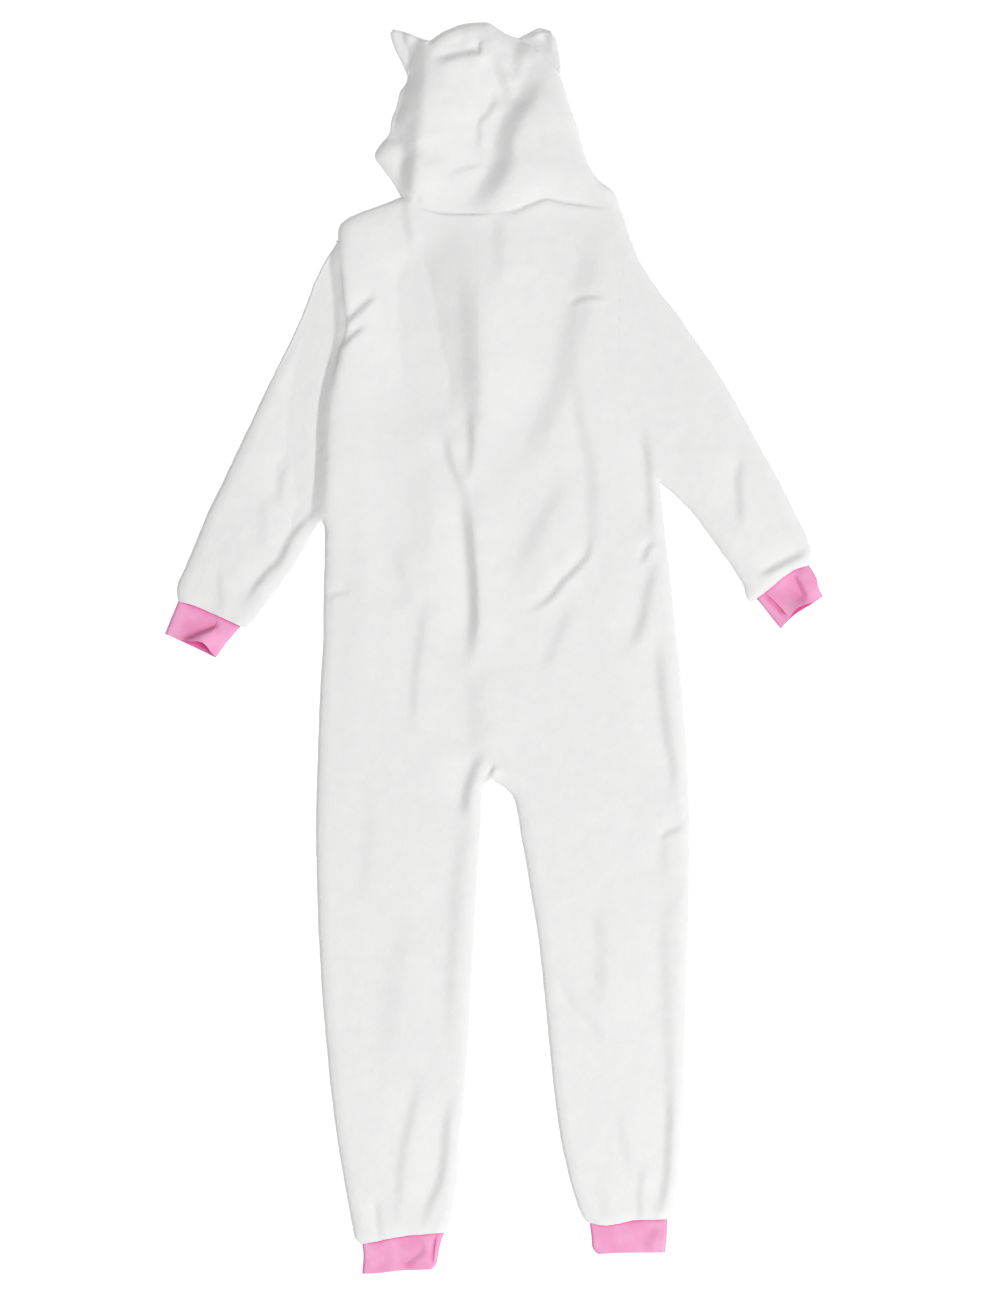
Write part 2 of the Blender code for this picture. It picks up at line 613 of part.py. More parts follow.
def front_half(side, lines, edges, band_heights):
    """One half of the front, flat on the floor, from its shoulder to its ankle."""
    half = lines[side]
    sign = -1 if side == "left" else 1
    offset = sign * (BAND_HALF_WIDTH + SEAM)
    centre, inseam = half["centre"], half["inseam_table"]
    if side == "left":
        top = Line(Seam(FRONT_NECK_LEFT[::-1]), SHOULDER_LEFT)
    else:
        top = Line(Seam(FRONT_NECK_RIGHT[::-1]))
    beside_band = [(centre_x(centre, y) + offset, y) for y in band_heights]
    point_of_band = (centre_x(centre, BAND_POINT_Y - 2) + sign * HALF_SEAM, BAND_POINT_Y - 2)
    below = [(centre_x(centre, y), y) for y in (-118, -130, -144, CROTCH_Y)]
    inner = Line(
        Seam([top.points[0]] + beside_band[1:] + [point_of_band] + below), inseam, by_height=True
    )
    plan = Patch(top, half["hem"], inner, half["outer"])
    top_y, hem_y = top.points[0, 1], half["hem"].points[0, 1]
    heights = np.r_[
        top_y - np.array((HALF_SEAM, 1.2, 3.2)),
        band_heights[1:],
        BAND_POINT_Y - 2,
        [-118, -130, -144, -156.5, -159.5, -163, -170, -178],
        np.linspace(-222, hem_y + 30, 8),
        hem_y + np.array((12, 4, HALF_SEAM)),
    ]
    rows = (top_y - heights) / (top_y - hem_y)
    steps = (HALF_SEAM, 0.9, UNDER_ROUND + HALF_SEAM)
    points = grid(plan, rows, 4, steps, steps)
    towards = points.mean(1, keepdims=True)
    outer, _ = under_layer(points, edges, edges, towards, FLEECE, UNDER_LIP, BODY_ROUND)
    inner = np.dstack([points, np.full(points.shape[:-1], FRONT_TOP)])
    return wall_piece("front_" + side, outer, inner, FLEECE_WHITE)


def sleeve(side, edges):
    """A sleeve: one tube of fleece pressed flat, open at the armhole and at the cuff."""
    if side == "left":
        near = Line(SLEEVE_OUTER_LEFT)
        far = Line(SLEEVE_INNER_LEFT)
        start, end = Line(Seam(ARMHOLE_LEFT)), Line(Seam(SLEEVE_HEM_LEFT))
    else:
        near = Line(SLEEVE_OUTER_RIGHT)
        far = Line(SLEEVE_INNER_RIGHT)
        start, end = Line(Seam(ARMHOLE_RIGHT)), Line(Seam(SLEEVE_HEM_RIGHT))
    plan = Patch(start, end, near, far)
    rows = np.r_[0.0008, np.linspace(0.03, 0.93, 16), 0.965, 0.985, 0.9994]
    upper = grid(plan, rows, 7, EDGE_STEPS, EDGE_STEPS)
    lower = grid(plan, rows, 6, UNDER_STEPS, UNDER_STEPS)[:, ::-1]
    towards = upper.mean(1, keepdims=True)
    seams = [start.points, end.points]
    upper_outer, upper_inner = over_layer(upper, edges, seams, [end.points], towards)
    upper_outer[:, (0, -1), 2] = upper_inner[:, (0, -1), 2] = FRONT_TOP
    lower_outer, lower_inner = under_layer(
        lower, edges, seams, towards, FLEECE, FRONT_TOP, BODY_ROUND
    )
    outer = np.hstack([upper_outer, lower_outer])
    inner = np.hstack([upper_inner, lower_inner])
    return wall_piece("sleeve_" + side, outer, inner, FLEECE_WHITE, wrap=True)


def hood_half(side, edges):
    """Half of the hood: from the seam up the back, round its side and under to the face."""
    if side == "left":
        silhouette = Line(HOOD_SIDE_LEFT, Seam(EAR_LEFT.base[::-1]), HOOD_CROWN_LEFT)
        neck, face = Line(Seam(NECK_LEFT)), Line(FACE_LEFT)
        front_neck = Line(Seam(FRONT_NECK_LEFT), Seam(CHIN_LEFT))
    else:
        silhouette = Line(HOOD_SIDE_RIGHT, Seam(EAR_RIGHT.base[::-1]), HOOD_CROWN_RIGHT)
        neck, face = Line(Seam(NECK_RIGHT)), Line(FACE_RIGHT)
        front_neck = Line(Seam(FRONT_NECK_RIGHT), Seam(CHIN_RIGHT))
    over = Patch(neck, Line(CROWN_BACK), Line(HOOD_SEAM), silhouette)
    under = Patch(front_neck, Line(CROWN_FRONT), silhouette, face)
    rows = np.r_[0.0008, 0.01, np.linspace(0.045, 0.94, 20), 0.975, 0.9993]
    upper = grid(over, rows, 6, (HALF_SEAM, 9.0), HOOD_STEPS)
    lower = grid(under, rows, 4, UNDER_STEPS, (HALF_SEAM,))
    seams = [neck.points, over.near.points, over.end.points]
    upper_outer, upper_inner = over_layer(upper, edges, seams, [], upper[:, 3:4])
    upper_outer[:, -1, 2] = upper_inner[:, -1, 2] = FRONT_TOP
    seams = [front_neck.points, under.end.points]
    lower_outer, lower_inner = under_layer(
        lower, [silhouette.points], seams, lower[:, -2:-1], FLEECE, FRONT_TOP, HOOD_ROUND
    )
    outer = np.hstack([upper_outer, lower_outer])
    inner = np.hstack([upper_inner, lower_inner])
    return wall_piece("hood_" + side, outer, inner, FLEECE_WHITE)


def ear(side, shape):
    """An ear: a flat front on the floor and a back that lies over it."""
    base, tip = Line(Seam(shape.base)), Line(shape.tip)
    plan = Patch(base, tip, Line(shape.upper), Line(shape.lower))
    edges = [smooth(shape.upper), smooth(shape.lower), smooth(shape.tip)]
    rows = np.r_[0.008, np.linspace(0.14, 0.86, 6), 0.93, 0.97, 1 - 0.006]
    ends = HALF_SEAM / 12
    share = snap([ends, 0.06, 0.2, 0.4, 0.6, 0.8, 0.94, 1 - ends], base.stations)
    points = plan(share[None, :], rows[:, None])
    towards = points.mean((0, 1))
    distance, away = edge_field(points, edges, towards)
    level = np.clip(1 - (distance - HALF_SEAM) / EAR_ROUND, 0, 1)
    inner_plan = set_in(points, away, EAR_WALL * level, [base.points], towards)
    top = np.maximum(EAR_TOP + fold_height(points), EAR_LOWEST)
    outer, inner = bent_over(points, inner_plan, top, EAR_WALL + SEAM, EAR_WALL, level)
    wall_piece(f"ear_{side}_back", outer, inner, FLEECE_WHITE)
    under, _ = under_layer(points, edges, edges, towards, EAR_WALL, UNDER_LIP, EAR_ROUND)
    flat = np.dstack([points, np.full(points.shape[:-1], EAR_WALL)])
    wall_piece(f"ear_{side}_front", under, flat, FLEECE_WHITE)


def cuff(name, shape):
    """A jersey cuff: a short tube pressed flat, whose upper edge may gape at the mouth."""
    near, far = Line(shape.outer), Line(shape.inner)
    plan = Patch(Line(Seam(shape.seam)), Line(shape.mouth), near, far)
    edges = [near.points, far.points]
    rows = np.array([0.012, 0.2, 0.4, 0.6, 0.8, 1.0])
    steps = (HALF_SEAM, 1.0, CUFF_ROUND)
    widths = np.linalg.norm(near(rows) - far(rows), axis=-1)
    u = np.array([spread(width, 6, steps, steps) for width in widths])
    u += (snap(u[0], plan.start.stations) - u[0]) * (1 - rows)[:, None]
    lift = np.exp(-(((u - shape.gape_at) / 0.2) ** 2)) * rows[:, None] ** 2
    upper = plan(u, rows[:, None] - shape.gape / near.length * lift)
    lower = grid(plan, rows, 4, (0.6, 2.0), (0.6, 2.0))[:, ::-1]
    middle = lower.mean(1, keepdims=True)
    distance, away = edge_field(upper, edges, middle)
    level = np.clip(1 - (distance - HALF_SEAM) / CUFF_ROUND, 0, 1)
    seams = [plan.start.points]
    inner_plan = set_in(upper, away, JERSEY * level, seams, middle)
    top = np.maximum(CUFF_TOP + fold_height(upper) + 0.45 * shape.gape * lift, CUFF_LOWEST)
    outer, inner = bent_over(upper, inner_plan, top, JERSEY, JERSEY, level)
    lower_outer, lower_inner = under_layer(
        lower, edges, seams, middle, JERSEY, JERSEY, CUFF_ROUND
    )
    outer, inner = np.hstack([outer, lower_outer]), np.hstack([inner, lower_inner])
    return wall_piece(name, outer, inner, JERSEY_PINK, wrap=True)


def centre_x(centre, y):
    """Where the centre seam is at one height up the garment."""
    return float(np.interp(y, centre[::-1, 1], centre[::-1, 0]))


def cylinder(name, x, y, low, high, radius):
    """A closed upright cylinder, in millimetres."""
    mesh = bmesh.new()
    bmesh.ops.create_cone(
        mesh, cap_ends=True, segments=BUTTON_SIDES, radius1=radius * MM, radius2=radius * MM,
        depth=(high - low) * MM,
    )
    bmesh.ops.translate(mesh, verts=mesh.verts, vec=(x * MM, y * MM, (low + high) / 2 * MM))
    data = bpy.data.meshes.new(name)
    mesh.to_mesh(data)
    mesh.free()
    return data


def button_band(centre, heights):
    """The band up the front's middle and its buttons, which sit in the pile, level with the floor."""
    rows = [
        ((centre_x(centre, y) - BAND_HALF_WIDTH, y), (centre_x(centre, y) + BAND_HALF_WIDTH, y))
        for y in heights
    ]
    rows[0] = tuple((x, heights[0] - SEAM) for x, _ in rows[0])
    point_x = centre_x(centre, BAND_POINT_Y)
    rows.append(((point_x - 2, BAND_POINT_Y + 1), (point_x + 2, BAND_POINT_Y + 1)))
    plan = np.array(rows)
    bottom = np.dstack([plan, np.zeros(plan.shape[:-1])])
    top = np.dstack([plan, np.full(plan.shape[:-1], FRONT_TOP)])
    band = wall_piece("button_band", bottom, top, FLEECE_WHITE)
    for number in range(BUTTON_COUNT):
        y = BUTTON_TOP_Y - number * BUTTON_PITCH
        x = centre_x(centre, y)
        name = f"button_{number + 1}"
        place(name, cylinder(name, x, y, 0, BUTTON_THICK, BUTTON_RADIUS), BUTTON_WHITE)
        recess = cylinder(name + "_recess", x, y, -1, BUTTON_RECESS, BUTTON_RADIUS + SEAM)
        cutter = bpy.data.objects.new(name + "_recess", recess)
        bpy.context.scene.collection.objects.link(cutter)
        cutter.hide_render = True
        cutter.display_type = "WIRE"
        cut = band.modifiers.new(name + "_recess", "BOOLEAN")
        cut.operation = "DIFFERENCE"
        cut.solver = "EXACT"
        cut.object = cutter


def main():
    for item in list(bpy.data.objects):
        bpy.data.objects.remove(item)
    lines = body_lines()
    edges = garment_edges(lines)
    band_heights = np.r_[FRONT_NECK_LEFT[-1][1], np.linspace(450, BAND_END_Y + 20, 12), BAND_END_Y]
    button_band(lines["left"]["centre"], band_heights)
    for side in ("left", "right"):
        front_half(side, lines, edges, band_heights)
        back_half(side, lines, edges)
        sleeve(side, edges)
        hood_half(side, edges)
    ear("left", EAR_LEFT)
    ear("right", EAR_RIGHT)
    for name, shape in CUFFS.items():
        cuff(name, shape)


main()
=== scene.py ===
"""The laid jumpsuit as it looks: plush cloth and pink jersey cuffs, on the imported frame.

Tables are in millimetres. The cloth lies on z = 0 with its back upward, +Y points to the hood and
+X to the right of a person who looks down at the back.
"""

from collections import namedtuple
from types import SimpleNamespace

import bpy
import numpy as np
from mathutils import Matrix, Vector, kdtree


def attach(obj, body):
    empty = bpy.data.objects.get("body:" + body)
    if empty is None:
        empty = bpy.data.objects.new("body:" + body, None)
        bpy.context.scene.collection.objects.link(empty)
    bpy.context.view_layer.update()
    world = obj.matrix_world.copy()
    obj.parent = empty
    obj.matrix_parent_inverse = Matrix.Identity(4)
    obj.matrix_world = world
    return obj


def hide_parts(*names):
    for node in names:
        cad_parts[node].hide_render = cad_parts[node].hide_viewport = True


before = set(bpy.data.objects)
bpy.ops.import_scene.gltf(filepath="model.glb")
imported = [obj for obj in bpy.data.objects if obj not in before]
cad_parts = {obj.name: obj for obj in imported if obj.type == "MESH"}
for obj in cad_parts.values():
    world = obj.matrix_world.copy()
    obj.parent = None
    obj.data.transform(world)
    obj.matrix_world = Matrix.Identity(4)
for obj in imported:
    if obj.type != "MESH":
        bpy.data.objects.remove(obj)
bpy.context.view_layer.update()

MM = 0.001

# Cloth
FLEECE = 3.0  # wall of the plush fleece
JERSEY = 1.8  # wall of a cuff, folded double
FRONT_TOP = FLEECE  # upper face of what lies on the floor
BACK_BASE = FRONT_TOP + 0.1  # where the back starts, at a side seam
TUCK = 0.02  # clearance where two pieces meet at a seam

# How high the cloth lies, and how far from its edge it bends over
BODY_TOP = 11.5
HOOD_TOP = 18.5
EAR_WALL = 2.5
EAR_BACK_BASE = EAR_WALL + 0.1  # where the back of an ear starts, at its edge
EAR_LOWEST = 6.2
EAR_JOINS = 0.6  # share of an ear's length over which it comes down from the hood
CUFF_TOP = 6.8
CUFF_LOWEST = 5.2
CUFF_LIP = 7.0  # how far a gaping upper edge stands up
GAPE_SPREAD = 0.22  # half of the gape's width, as a share of the cuff's
LOWEST_TOP = BACK_BASE + FLEECE + 0.3  # no fold presses the cloth lower than this
EDGE_LIFT = 1.2  # and that limit is this much higher right by an edge
HEM_DROP = 2.4  # how much lower the cloth lies by its hems, and from where
HEM_REACH = 13.0
BODY_ROUND = 3.4
SIDE_DROP = 3.4  # how much lower the cloth lies by its sides, and from where
SIDE_REACH = 14.0
LIT_SIDE = 0.55  # share by which the reach is shorter on the right sides
HOOD_ROUND = 8.0
EAR_ROUND = 5.0
CUFF_ROUND = 3.5
UNDER_ROUND = 3.0  # how far from an edge the layer on the floor bends up
UNDER_LIP = 1.5  # and how high the edge of the front gets
NECK_Y = 518.0  # from here to CROWN_Y the height changes from body to hood
CROWN_Y = 580.0
CROWN_FROM = 670.0  # from here the hood falls towards its crown
CROWN_TO = 745.0
CROWN_FALL = 6.0

# Fineness of the meshes: size of a cell, and distances from an edge of the first points
BACK_CELL = 3.1
HOOD_CELL = 2.2
SLEEVE_CELL = 2.8
FRONT_CELL = 9.0
BAND_CELL = 2.0
CUFF_UNDER_CELL = 2.0
EDGE_STEPS = (TUCK, 0.25, 0.6, 1.2, 2.0, 3.0, 4.6, 6.5)
HOOD_EDGE_STEPS = EDGE_STEPS + (13.0,)
SEAM_STEPS = (TUCK, 1.2, 3.4)
HOOD_SEAM_STEPS = (TUCK, 1.5)
FRONT_STEPS = (TUCK, 0.8, 1.8, UNDER_ROUND)
UNDER_STEPS = (0.6, 1.6, UNDER_ROUND)
CUFF_STEPS = (TUCK, 0.4, 1.0, 2.0, CUFF_ROUND)
CUFF_UNDER_STEPS = (0.6, 2.0)
CROTCH_GAP = 1.0  # rows of points lie this far above and below the crotch
CUFF_START = 0.002  # share of a cuff's length that stays free at its seam
CUFF_ROWS = 36
CUFF_COLUMNS = 84
EAR_ROWS = np.r_[0.002, 0.02, np.linspace(0.05, 0.95, 26), 0.97, 0.985, 0.995, 1.0]
EAR_COLUMNS = np.r_[
    0.001, 0.01, 0.025, 0.045, np.linspace(0.07, 0.93, 24), 0.955, 0.975, 0.99, 0.999
]
CURVE_STEPS = 10
ON_EDGE = 0.1  # a point this close to an edge counts as on it
SHARP_CLOTH = 60  # degrees from which an edge looks sharp
SHARP_BUTTON = 35

# Folds
FOLD_ENDS = 0.3  # share of a fold over which each end runs out
FOLD_TAIL = 3.2  # how far a fold's sides run out, in its widths
FOLD_TAIL_MOST = 80.0  # and at most this far, in millimetres
FOLD_REACH = 7.0  # beyond this many widths a fold adds nothing
FOLD_CORE = 0.65  # share of a ridge in its narrow middle
FOLD_WIDER = 2.5  # how much wider the rest of the ridge is
FOLD_STEEP = 1.5  # how steeply a roll turns over at its path

# The photo's frame in metres: 1297 pixels of 1.2 mm, and its middle in the garment's frame
PHOTO_HEIGHT = 1.5564
PHOTO_CENTRE = (0.0072, -0.0006)
LENS = 200.0  # long, so that the view is nearly straight down everywhere
SENSOR = 36.0

# Floor and light, in metres and watts
FLOOR_SIZE = 12.0
FLOOR_DROP = 0.0002  # how far the floor lies below the cloth
FLOOR_GREY = 0.35
FLOOR_GLOW = 0.9
SKY_STRENGTH = 0.35  # white, from all round
KEY_POWER = 490.0  # a round lamp, to the right of the legs
KEY_WIDTH = 6.5
KEY_PLACE = (3.3, -2.5, 6.4)

# Colours, as red, green and blue
PLUSH_DARK = (0.846, 0.848, 0.844)
PLUSH_LIGHT = (0.868, 0.868, 0.862)
PINK_DARK = (0.885, 0.35, 0.59)
PINK_LIGHT = (0.935, 0.43, 0.665)
PINK_PAINTED_SHADE = (0.8, 0.22, 0.5)  # painted shade: the pink is multiplied by this where other cloth closes it in
PAINTED_SHADE_REACH = 0.02  # within this many metres other cloth counts as closing it in, for the painted shade
PAINTED_SHADE_OPEN = (0.58, 0.99)  # open share at which the painted shade is strongest, and at which there is none
BUTTON_WHITE = (0.82, 0.82, 0.8)

# Sections across body and legs, as rows of y and the inner edges of the left and right half. The
# centre seam splits at the crotch.
INNER_SECTIONS = (
    (520.5, -20, -20), (300, -20.5, -20.5), (100, -20, -20), (0, -17, -17), (-62, -12, -12),
    (-130, -5.5, -5.5), (-158, -3.6, -3.6), (-161, -7.5, 4), (-170, -13.2, 15.6), (-178, -14.2, 23),
    (-224, -16.2, 32.4), (-290, -20.4, 43.8), (-350, -23.4, 53.4), (-410, -27, 60),
    (-470, -29.4, 66), (-530, -34.8, 72), (-590, -40, 80.4), (-638, -43.5, 91.2),
    (-668, -48, 100.2),
)
CROTCH_Y = -158

# Outlines of both halves seen from above, as rows of x, y. tip is the end of the shoulder, sleeves
# run to the cuff, the sides of the hood to its crown, and its face edge lies underneath.
OUTLINES = {
    "left": SimpleNamespace(
        neck=((-20, 520.5), (-60, 520.2), (-83, 524.5), (-112, 541)),
        shoulders=(((-112, 541), (-131, 533), (-155, 524.5), (-173, 517), (-184, 509)),),
        tip=((-184, 509), (-187, 499), (-187.2, 488.4)),
        armhole=(
            (-187.2, 488.4), (-181, 424), (-176.5, 382), (-186, 350), (-196, 300), (-203, 168),
            (-206, 150),
        ),
        side=(
            (-206, 150), (-203.4, 145), (-203, 128), (-204, 82), (-205, 10), (-209, -62),
            (-211.5, -134), (-213.6, -224), (-212, -290), (-210, -350), (-206.4, -410),
            (-201.6, -470), (-195.6, -530), (-187.8, -590), (-180, -638), (-171, -686),
            (-166, -709), (-159.6, -715),
        ),
        inner_end=((-51.5, -688), (-53.5, -695), (-57.6, -701)),
        hem=((-57.6, -701), (-100, -704.5), (-159.6, -715)),
        front_neck=((-112, 541), (-88, 514), (-36.3, 497.2)),
        sleeve_outer=(
            (-187.2, 488.4), (-203, 463), (-215, 439), (-227, 407), (-240, 377), (-269, 318),
            (-290, 274), (-310, 232), (-329, 192), (-344.4, 160), (-359, 124), (-372, 94),
            (-380.4, 72), (-379.2, 56.4),
        ),
        sleeve_inner=(
            (-206, 150), (-210, 148), (-220, 133), (-227, 120), (-245, 89), (-263, 65), (-283, 38),
            (-293, 27), (-299, 24),
        ),
        sleeve_hem=((-379.2, 56.4), (-360, 51), (-339, 42), (-299, 24)),
        hood_side=(
            (-112, 541), (-122.5, 559), (-135.6, 577), (-142, 586), (-142.8, 593), (-135.6, 605),
            (-126, 617), (-123.6, 631), (-117.6, 648), (-112.8, 666), (-105, 679), (-103.8, 686),
        ),
        hood_crown=((-77, 728.4), (-65, 736.5), (-53, 742.8), (-35, 748.8), (-17.5, 750.6)),
        face=((-20, 497.2), (-44, 540), (-61, 590), (-64, 640), (-50, 683), (-17.5, 704)),
    ),
    "right": SimpleNamespace(
        neck=(
            (-20, 520.5), (7, 521.5), (35, 530), (63, 537.5), (84, 533), (115, 529), (152.4, 525.6),
        ),
        shoulders=(),
        tip=((152.4, 525.6), (158, 511), (161, 499)),
        armhole=((161, 499), (151, 420), (152, 330), (166, 270), (199.2, 198)),
        side=(
            (199.2, 198), (204, 154), (212.4, 82), (219.6, 10), (226.8, -62), (232.2, -134),
            (235.2, -224), (234.5, -290), (232.8, -350), (231, -410), (230, -470), (228.4, -530),
            (225, -590), (222, -638), (216.6, -668), (212.4, -682), (208.8, -685.2),
        ),
        inner_end=((105.6, -680), (109, -686), (114, -690)),
        hem=((114, -690), (137, -692.4), (169, -686.5), (208.8, -685.2)),
        front_neck=((152.4, 525.6), (88, 515), (-3.7, 497.2)),
        sleeve_outer=(
            (161, 499), (168, 481), (175.2, 463.2), (199, 427), (220, 401), (241, 370), (262, 341),
            (281, 310), (298, 280), (331, 220), (348, 190), (362.4, 160), (376, 132), (380.6, 114),
            (378, 99.6),
        ),
        sleeve_inner=(
            (199.2, 198), (218, 182), (238, 162), (256, 138), (271, 117), (287, 95), (299, 74),
            (304, 59), (309.6, 55.2),
        ),
        sleeve_hem=((378, 99.6), (358, 92.4), (325, 66.5), (309.6, 55.2)),
        hood_side=(
            (152.4, 525.6), (149, 537.5), (141.6, 549.6), (127, 560.5), (115.2, 577), (108, 597.6),
            (99.6, 627.6), (91.2, 651.6), (84, 675.6), (80, 687),
        ),
        hood_crown=((29, 730.8), (17, 736), (3.6, 744), (-7.2, 750), (-17.5, 750.6)),
        face=((-20, 497.2), (6, 540), (24, 590), (28, 640), (15, 683), (-17.5, 704)),
    ),
}

# The seam up the back of the hood and over its crown
HOOD_SEAM = ((-20, 520.5), (-17.5, 708))
CROWN_BACK = ((-17.5, 708), (-17.5, 750.6))
CROWN_FRONT = ((-17.5, 750.6), (-17.5, 704))

# Ears, each from its base on the hood to a short tip. top is how high it lies.
Ear = namedtuple("Ear", "base upper lower top")
EARS = {
    "left": Ear(
        base=((-77, 728.4), (-89, 720), (-98.4, 705.6), (-103.8, 686)),
        upper=((-77, 728.4), (-89, 732), (-101, 737), (-113, 740.5), (-121, 742.8)),
        lower=((-103.8, 686), (-110.4, 701), (-120, 720), (-124.8, 737)),
        top=7.4,
    ),
    "right": Ear(
        base=((29, 730.8), (43, 721), (61, 708), (80, 687)),
        upper=((29, 730.8), (40, 737), (55, 743.8), (68, 740.5)),
        lower=((80, 687), (80.6, 700), (79, 712), (75.6, 729.6)),
        top=9.0,
    ),
}

# Cuffs, each from its seam to its mouth. gape draws the upper edge back and lifts it, most at
# the share gape_at of the cuff's width.
Cuff = namedtuple("Cuff", "seam outer inner mouth gape gape_at", defaults=(0.0, 0.5))
CUFFS = {
    "cuff_sleeve_left": Cuff(
        seam=((-378.6, 56.23), (-360, 51), (-339, 42), (-304, 26.25)),
        outer=((-378.6, 56.23), (-387, 36), (-394.6, 17)),
        inner=((-304, 26.25), (-313, 16), (-323, 4), (-334, -11.5)),
        mouth=((-394.6, 17), (-365, 3.5), (-334, -11.5)),
        gape=8.5,
        gape_at=0.66,
    ),
    "cuff_sleeve_right": Cuff(
        seam=((377.6, 99.46), (358, 92.4), (325, 66.5), (315, 59.16)),
        outer=((377.6, 99.46), (386.8, 84), (389.4, 72), (394.4, 62)),
        inner=((315, 59.16), (322, 51), (333.6, 36), (343.8, 23.5)),
        mouth=((394.4, 62), (383, 54), (359, 38.6), (343.8, 23.5)),
        gape=4.5,
    ),
    "cuff_leg_left": Cuff(
        seam=((-60, -701.2), (-100, -704.5), (-158, -714.72)),
        outer=((-60, -701.2), (-65, -716.4), (-69.6, -739), (-74.4, -745)),
        inner=((-158, -714.72), (-156.5, -728), (-158, -750.4)),
        mouth=((-74.4, -745), (-112.8, -746.6), (-142.8, -750), (-158, -750.4)),
    ),
    "cuff_leg_right": Cuff(
        seam=((115, -690.1), (137, -692.4), (169, -686.5), (207.8, -685.23)),
        outer=((115, -690.1), (116.8, -704), (119, -721), (125, -727)),
        inner=((207.8, -685.23), (207.2, -704), (205.2, -724.8)),
        mouth=((125, -727), (151, -725.4), (205.2, -724.8)),
    ),
}

# Folds by name: width, ridge, roll and path. The ridge lifts the path itself, and the roll lifts
# the cloth on the right of a path that runs down the garment and lowers it on the left.
BODY_FOLDS = {
    "back_left_broad": (48, 0, 10.0, ((-66, 520), (-60, 460), (-54, 400), (-47, 330), (-38, 250))),
    "back_left_line": (12, 0, 1.6, ((-82, 490), (-80, 440), (-74, 380), (-62, 320))),
    "centre_upper": (
        17, 0, 3.6, ((-34, 480), (-31, 440), (-29, 400), (-27, 340), (-27, 270), (-29, 205)),
    ),
    "centre_upper_low": (6, 0, 2.0, ((-29, 290), (-27, 245), (-31, 198))),
    "centre_lower": (
        10, -0.6, 5.4,
        ((-38, 206), (-32, 154), (-28, 106), (-25, 58), (-25, 28), (-29, -8), (-36, -34)),
    ),
    "centre_branch": (6.5, 0, 2.6, ((-60, 262), (-51, 220), (-40, 196), (-31, 180))),
    "below_neck": (11, 0, 1.8, ((4, 526), (5, 485), (6, 430))),
    "neck_left_down": (8, 0, 1.9, ((-108, 548), (-105, 512), (-98, 476))),
    "right_upper": (
        21, 0, 3.9,
        (
            (130, 520), (118, 490), (111, 455), (108, 437), (100, 403), (89, 370), (84, 336),
            (74, 302), (56, 262), (37, 222), (22, 196),
        ),
    ),
    "right_short": (3, -1.0, -1.5, ((88, 408), (98, 416), (112, 420), (136, 420))),
    "right_hook": (
        11, 0, 2.0,
        (
            (92, 345), (99, 302), (105, 267), (113, 235), (117, 201), (118, 166), (116, 128),
            (109, 100),
        ),
    ),
    "right_hook_low": (
        3.8, -0.6, 2.4, ((119, 146), (112, 112), (99, 96), (83, 80), (67, 60), (34, 38)),
    ),
    "right_diagonal": (15, 0, 2.2, ((92, 214), (66, 168), (34, 106), (20, 80))),
    "right_below": (9, 0, 1.2, ((94, 56), (76, 10), (58, -34))),
    "right_side": (7, -0.3, 2.2, ((178, 276), (184, 226), (187, 178), (188, 128))),
    "right_side_notch": (3, -0.8, 2.2, ((192, 130), (184, 118), (176, 98))),
    "right_waist": (8, 0, 2.6, ((196, 112), (185, 70), (179, 40), (172, 19), (162, -12))),
    "right_hip": (
        8, 0, 2.6, ((196, 26), (200, -38), (205, -86), (209, -116), (215, -146), (214, -196)),
    ),
    "right_thigh_notch": (4, -0.6, -1.6, ((196, -232), (208, -222), (232, -212))),
    "right_thigh": (9, 0, 1.2, ((204, -228), (203, -250), (208, -276))),
    "left_waist": (11, 0, 1.6, ((-122, 124), (-110, 82), (-96, 50))),
    "left_hip": (8, 0, 1.5, ((-82, 70), (-89, 10), (-95, -38), (-99, -116))),
    "left_broad": (22, 0, 1.8, ((-90, 230), (-88, 160), (-92, 90))),
    "left_side_notch": (3.5, -0.5, -1.0, ((-200, 58), (-188, 65), (-168, 67))),
    "left_ridge": (15, 1.3, 0, ((-164, 330), (-158, 200), (-158, 60), (-170, -100), (-172, -200))),
    "crotch_above": (16, 0, 2.0, ((-28, -20), (-22, -80), (-20, -140))),
    "crotch": (8.5, -0.4, 3.6, ((-13, -118), (-24, -146), (-33, -172), (-37, -210))),
    "crotch_short": (3, -0.6, 2.2, ((3, -138), (-4, -150), (-12, -162))),
    "armhole_crease_upper": (5, -1.0, 3.0, ((-140, 426), (-158, 408), (-182, 384))),
    "armhole_crease_lower": (4.5, -0.8, 2.7, ((-152, 388), (-167, 376), (-184, 358))),
    "armhole_left": (
        3.2, -0.6, 0.9, ((-186, 500), (-181, 424), (-177, 382), (-187, 350), (-197, 290)),
    ),
}
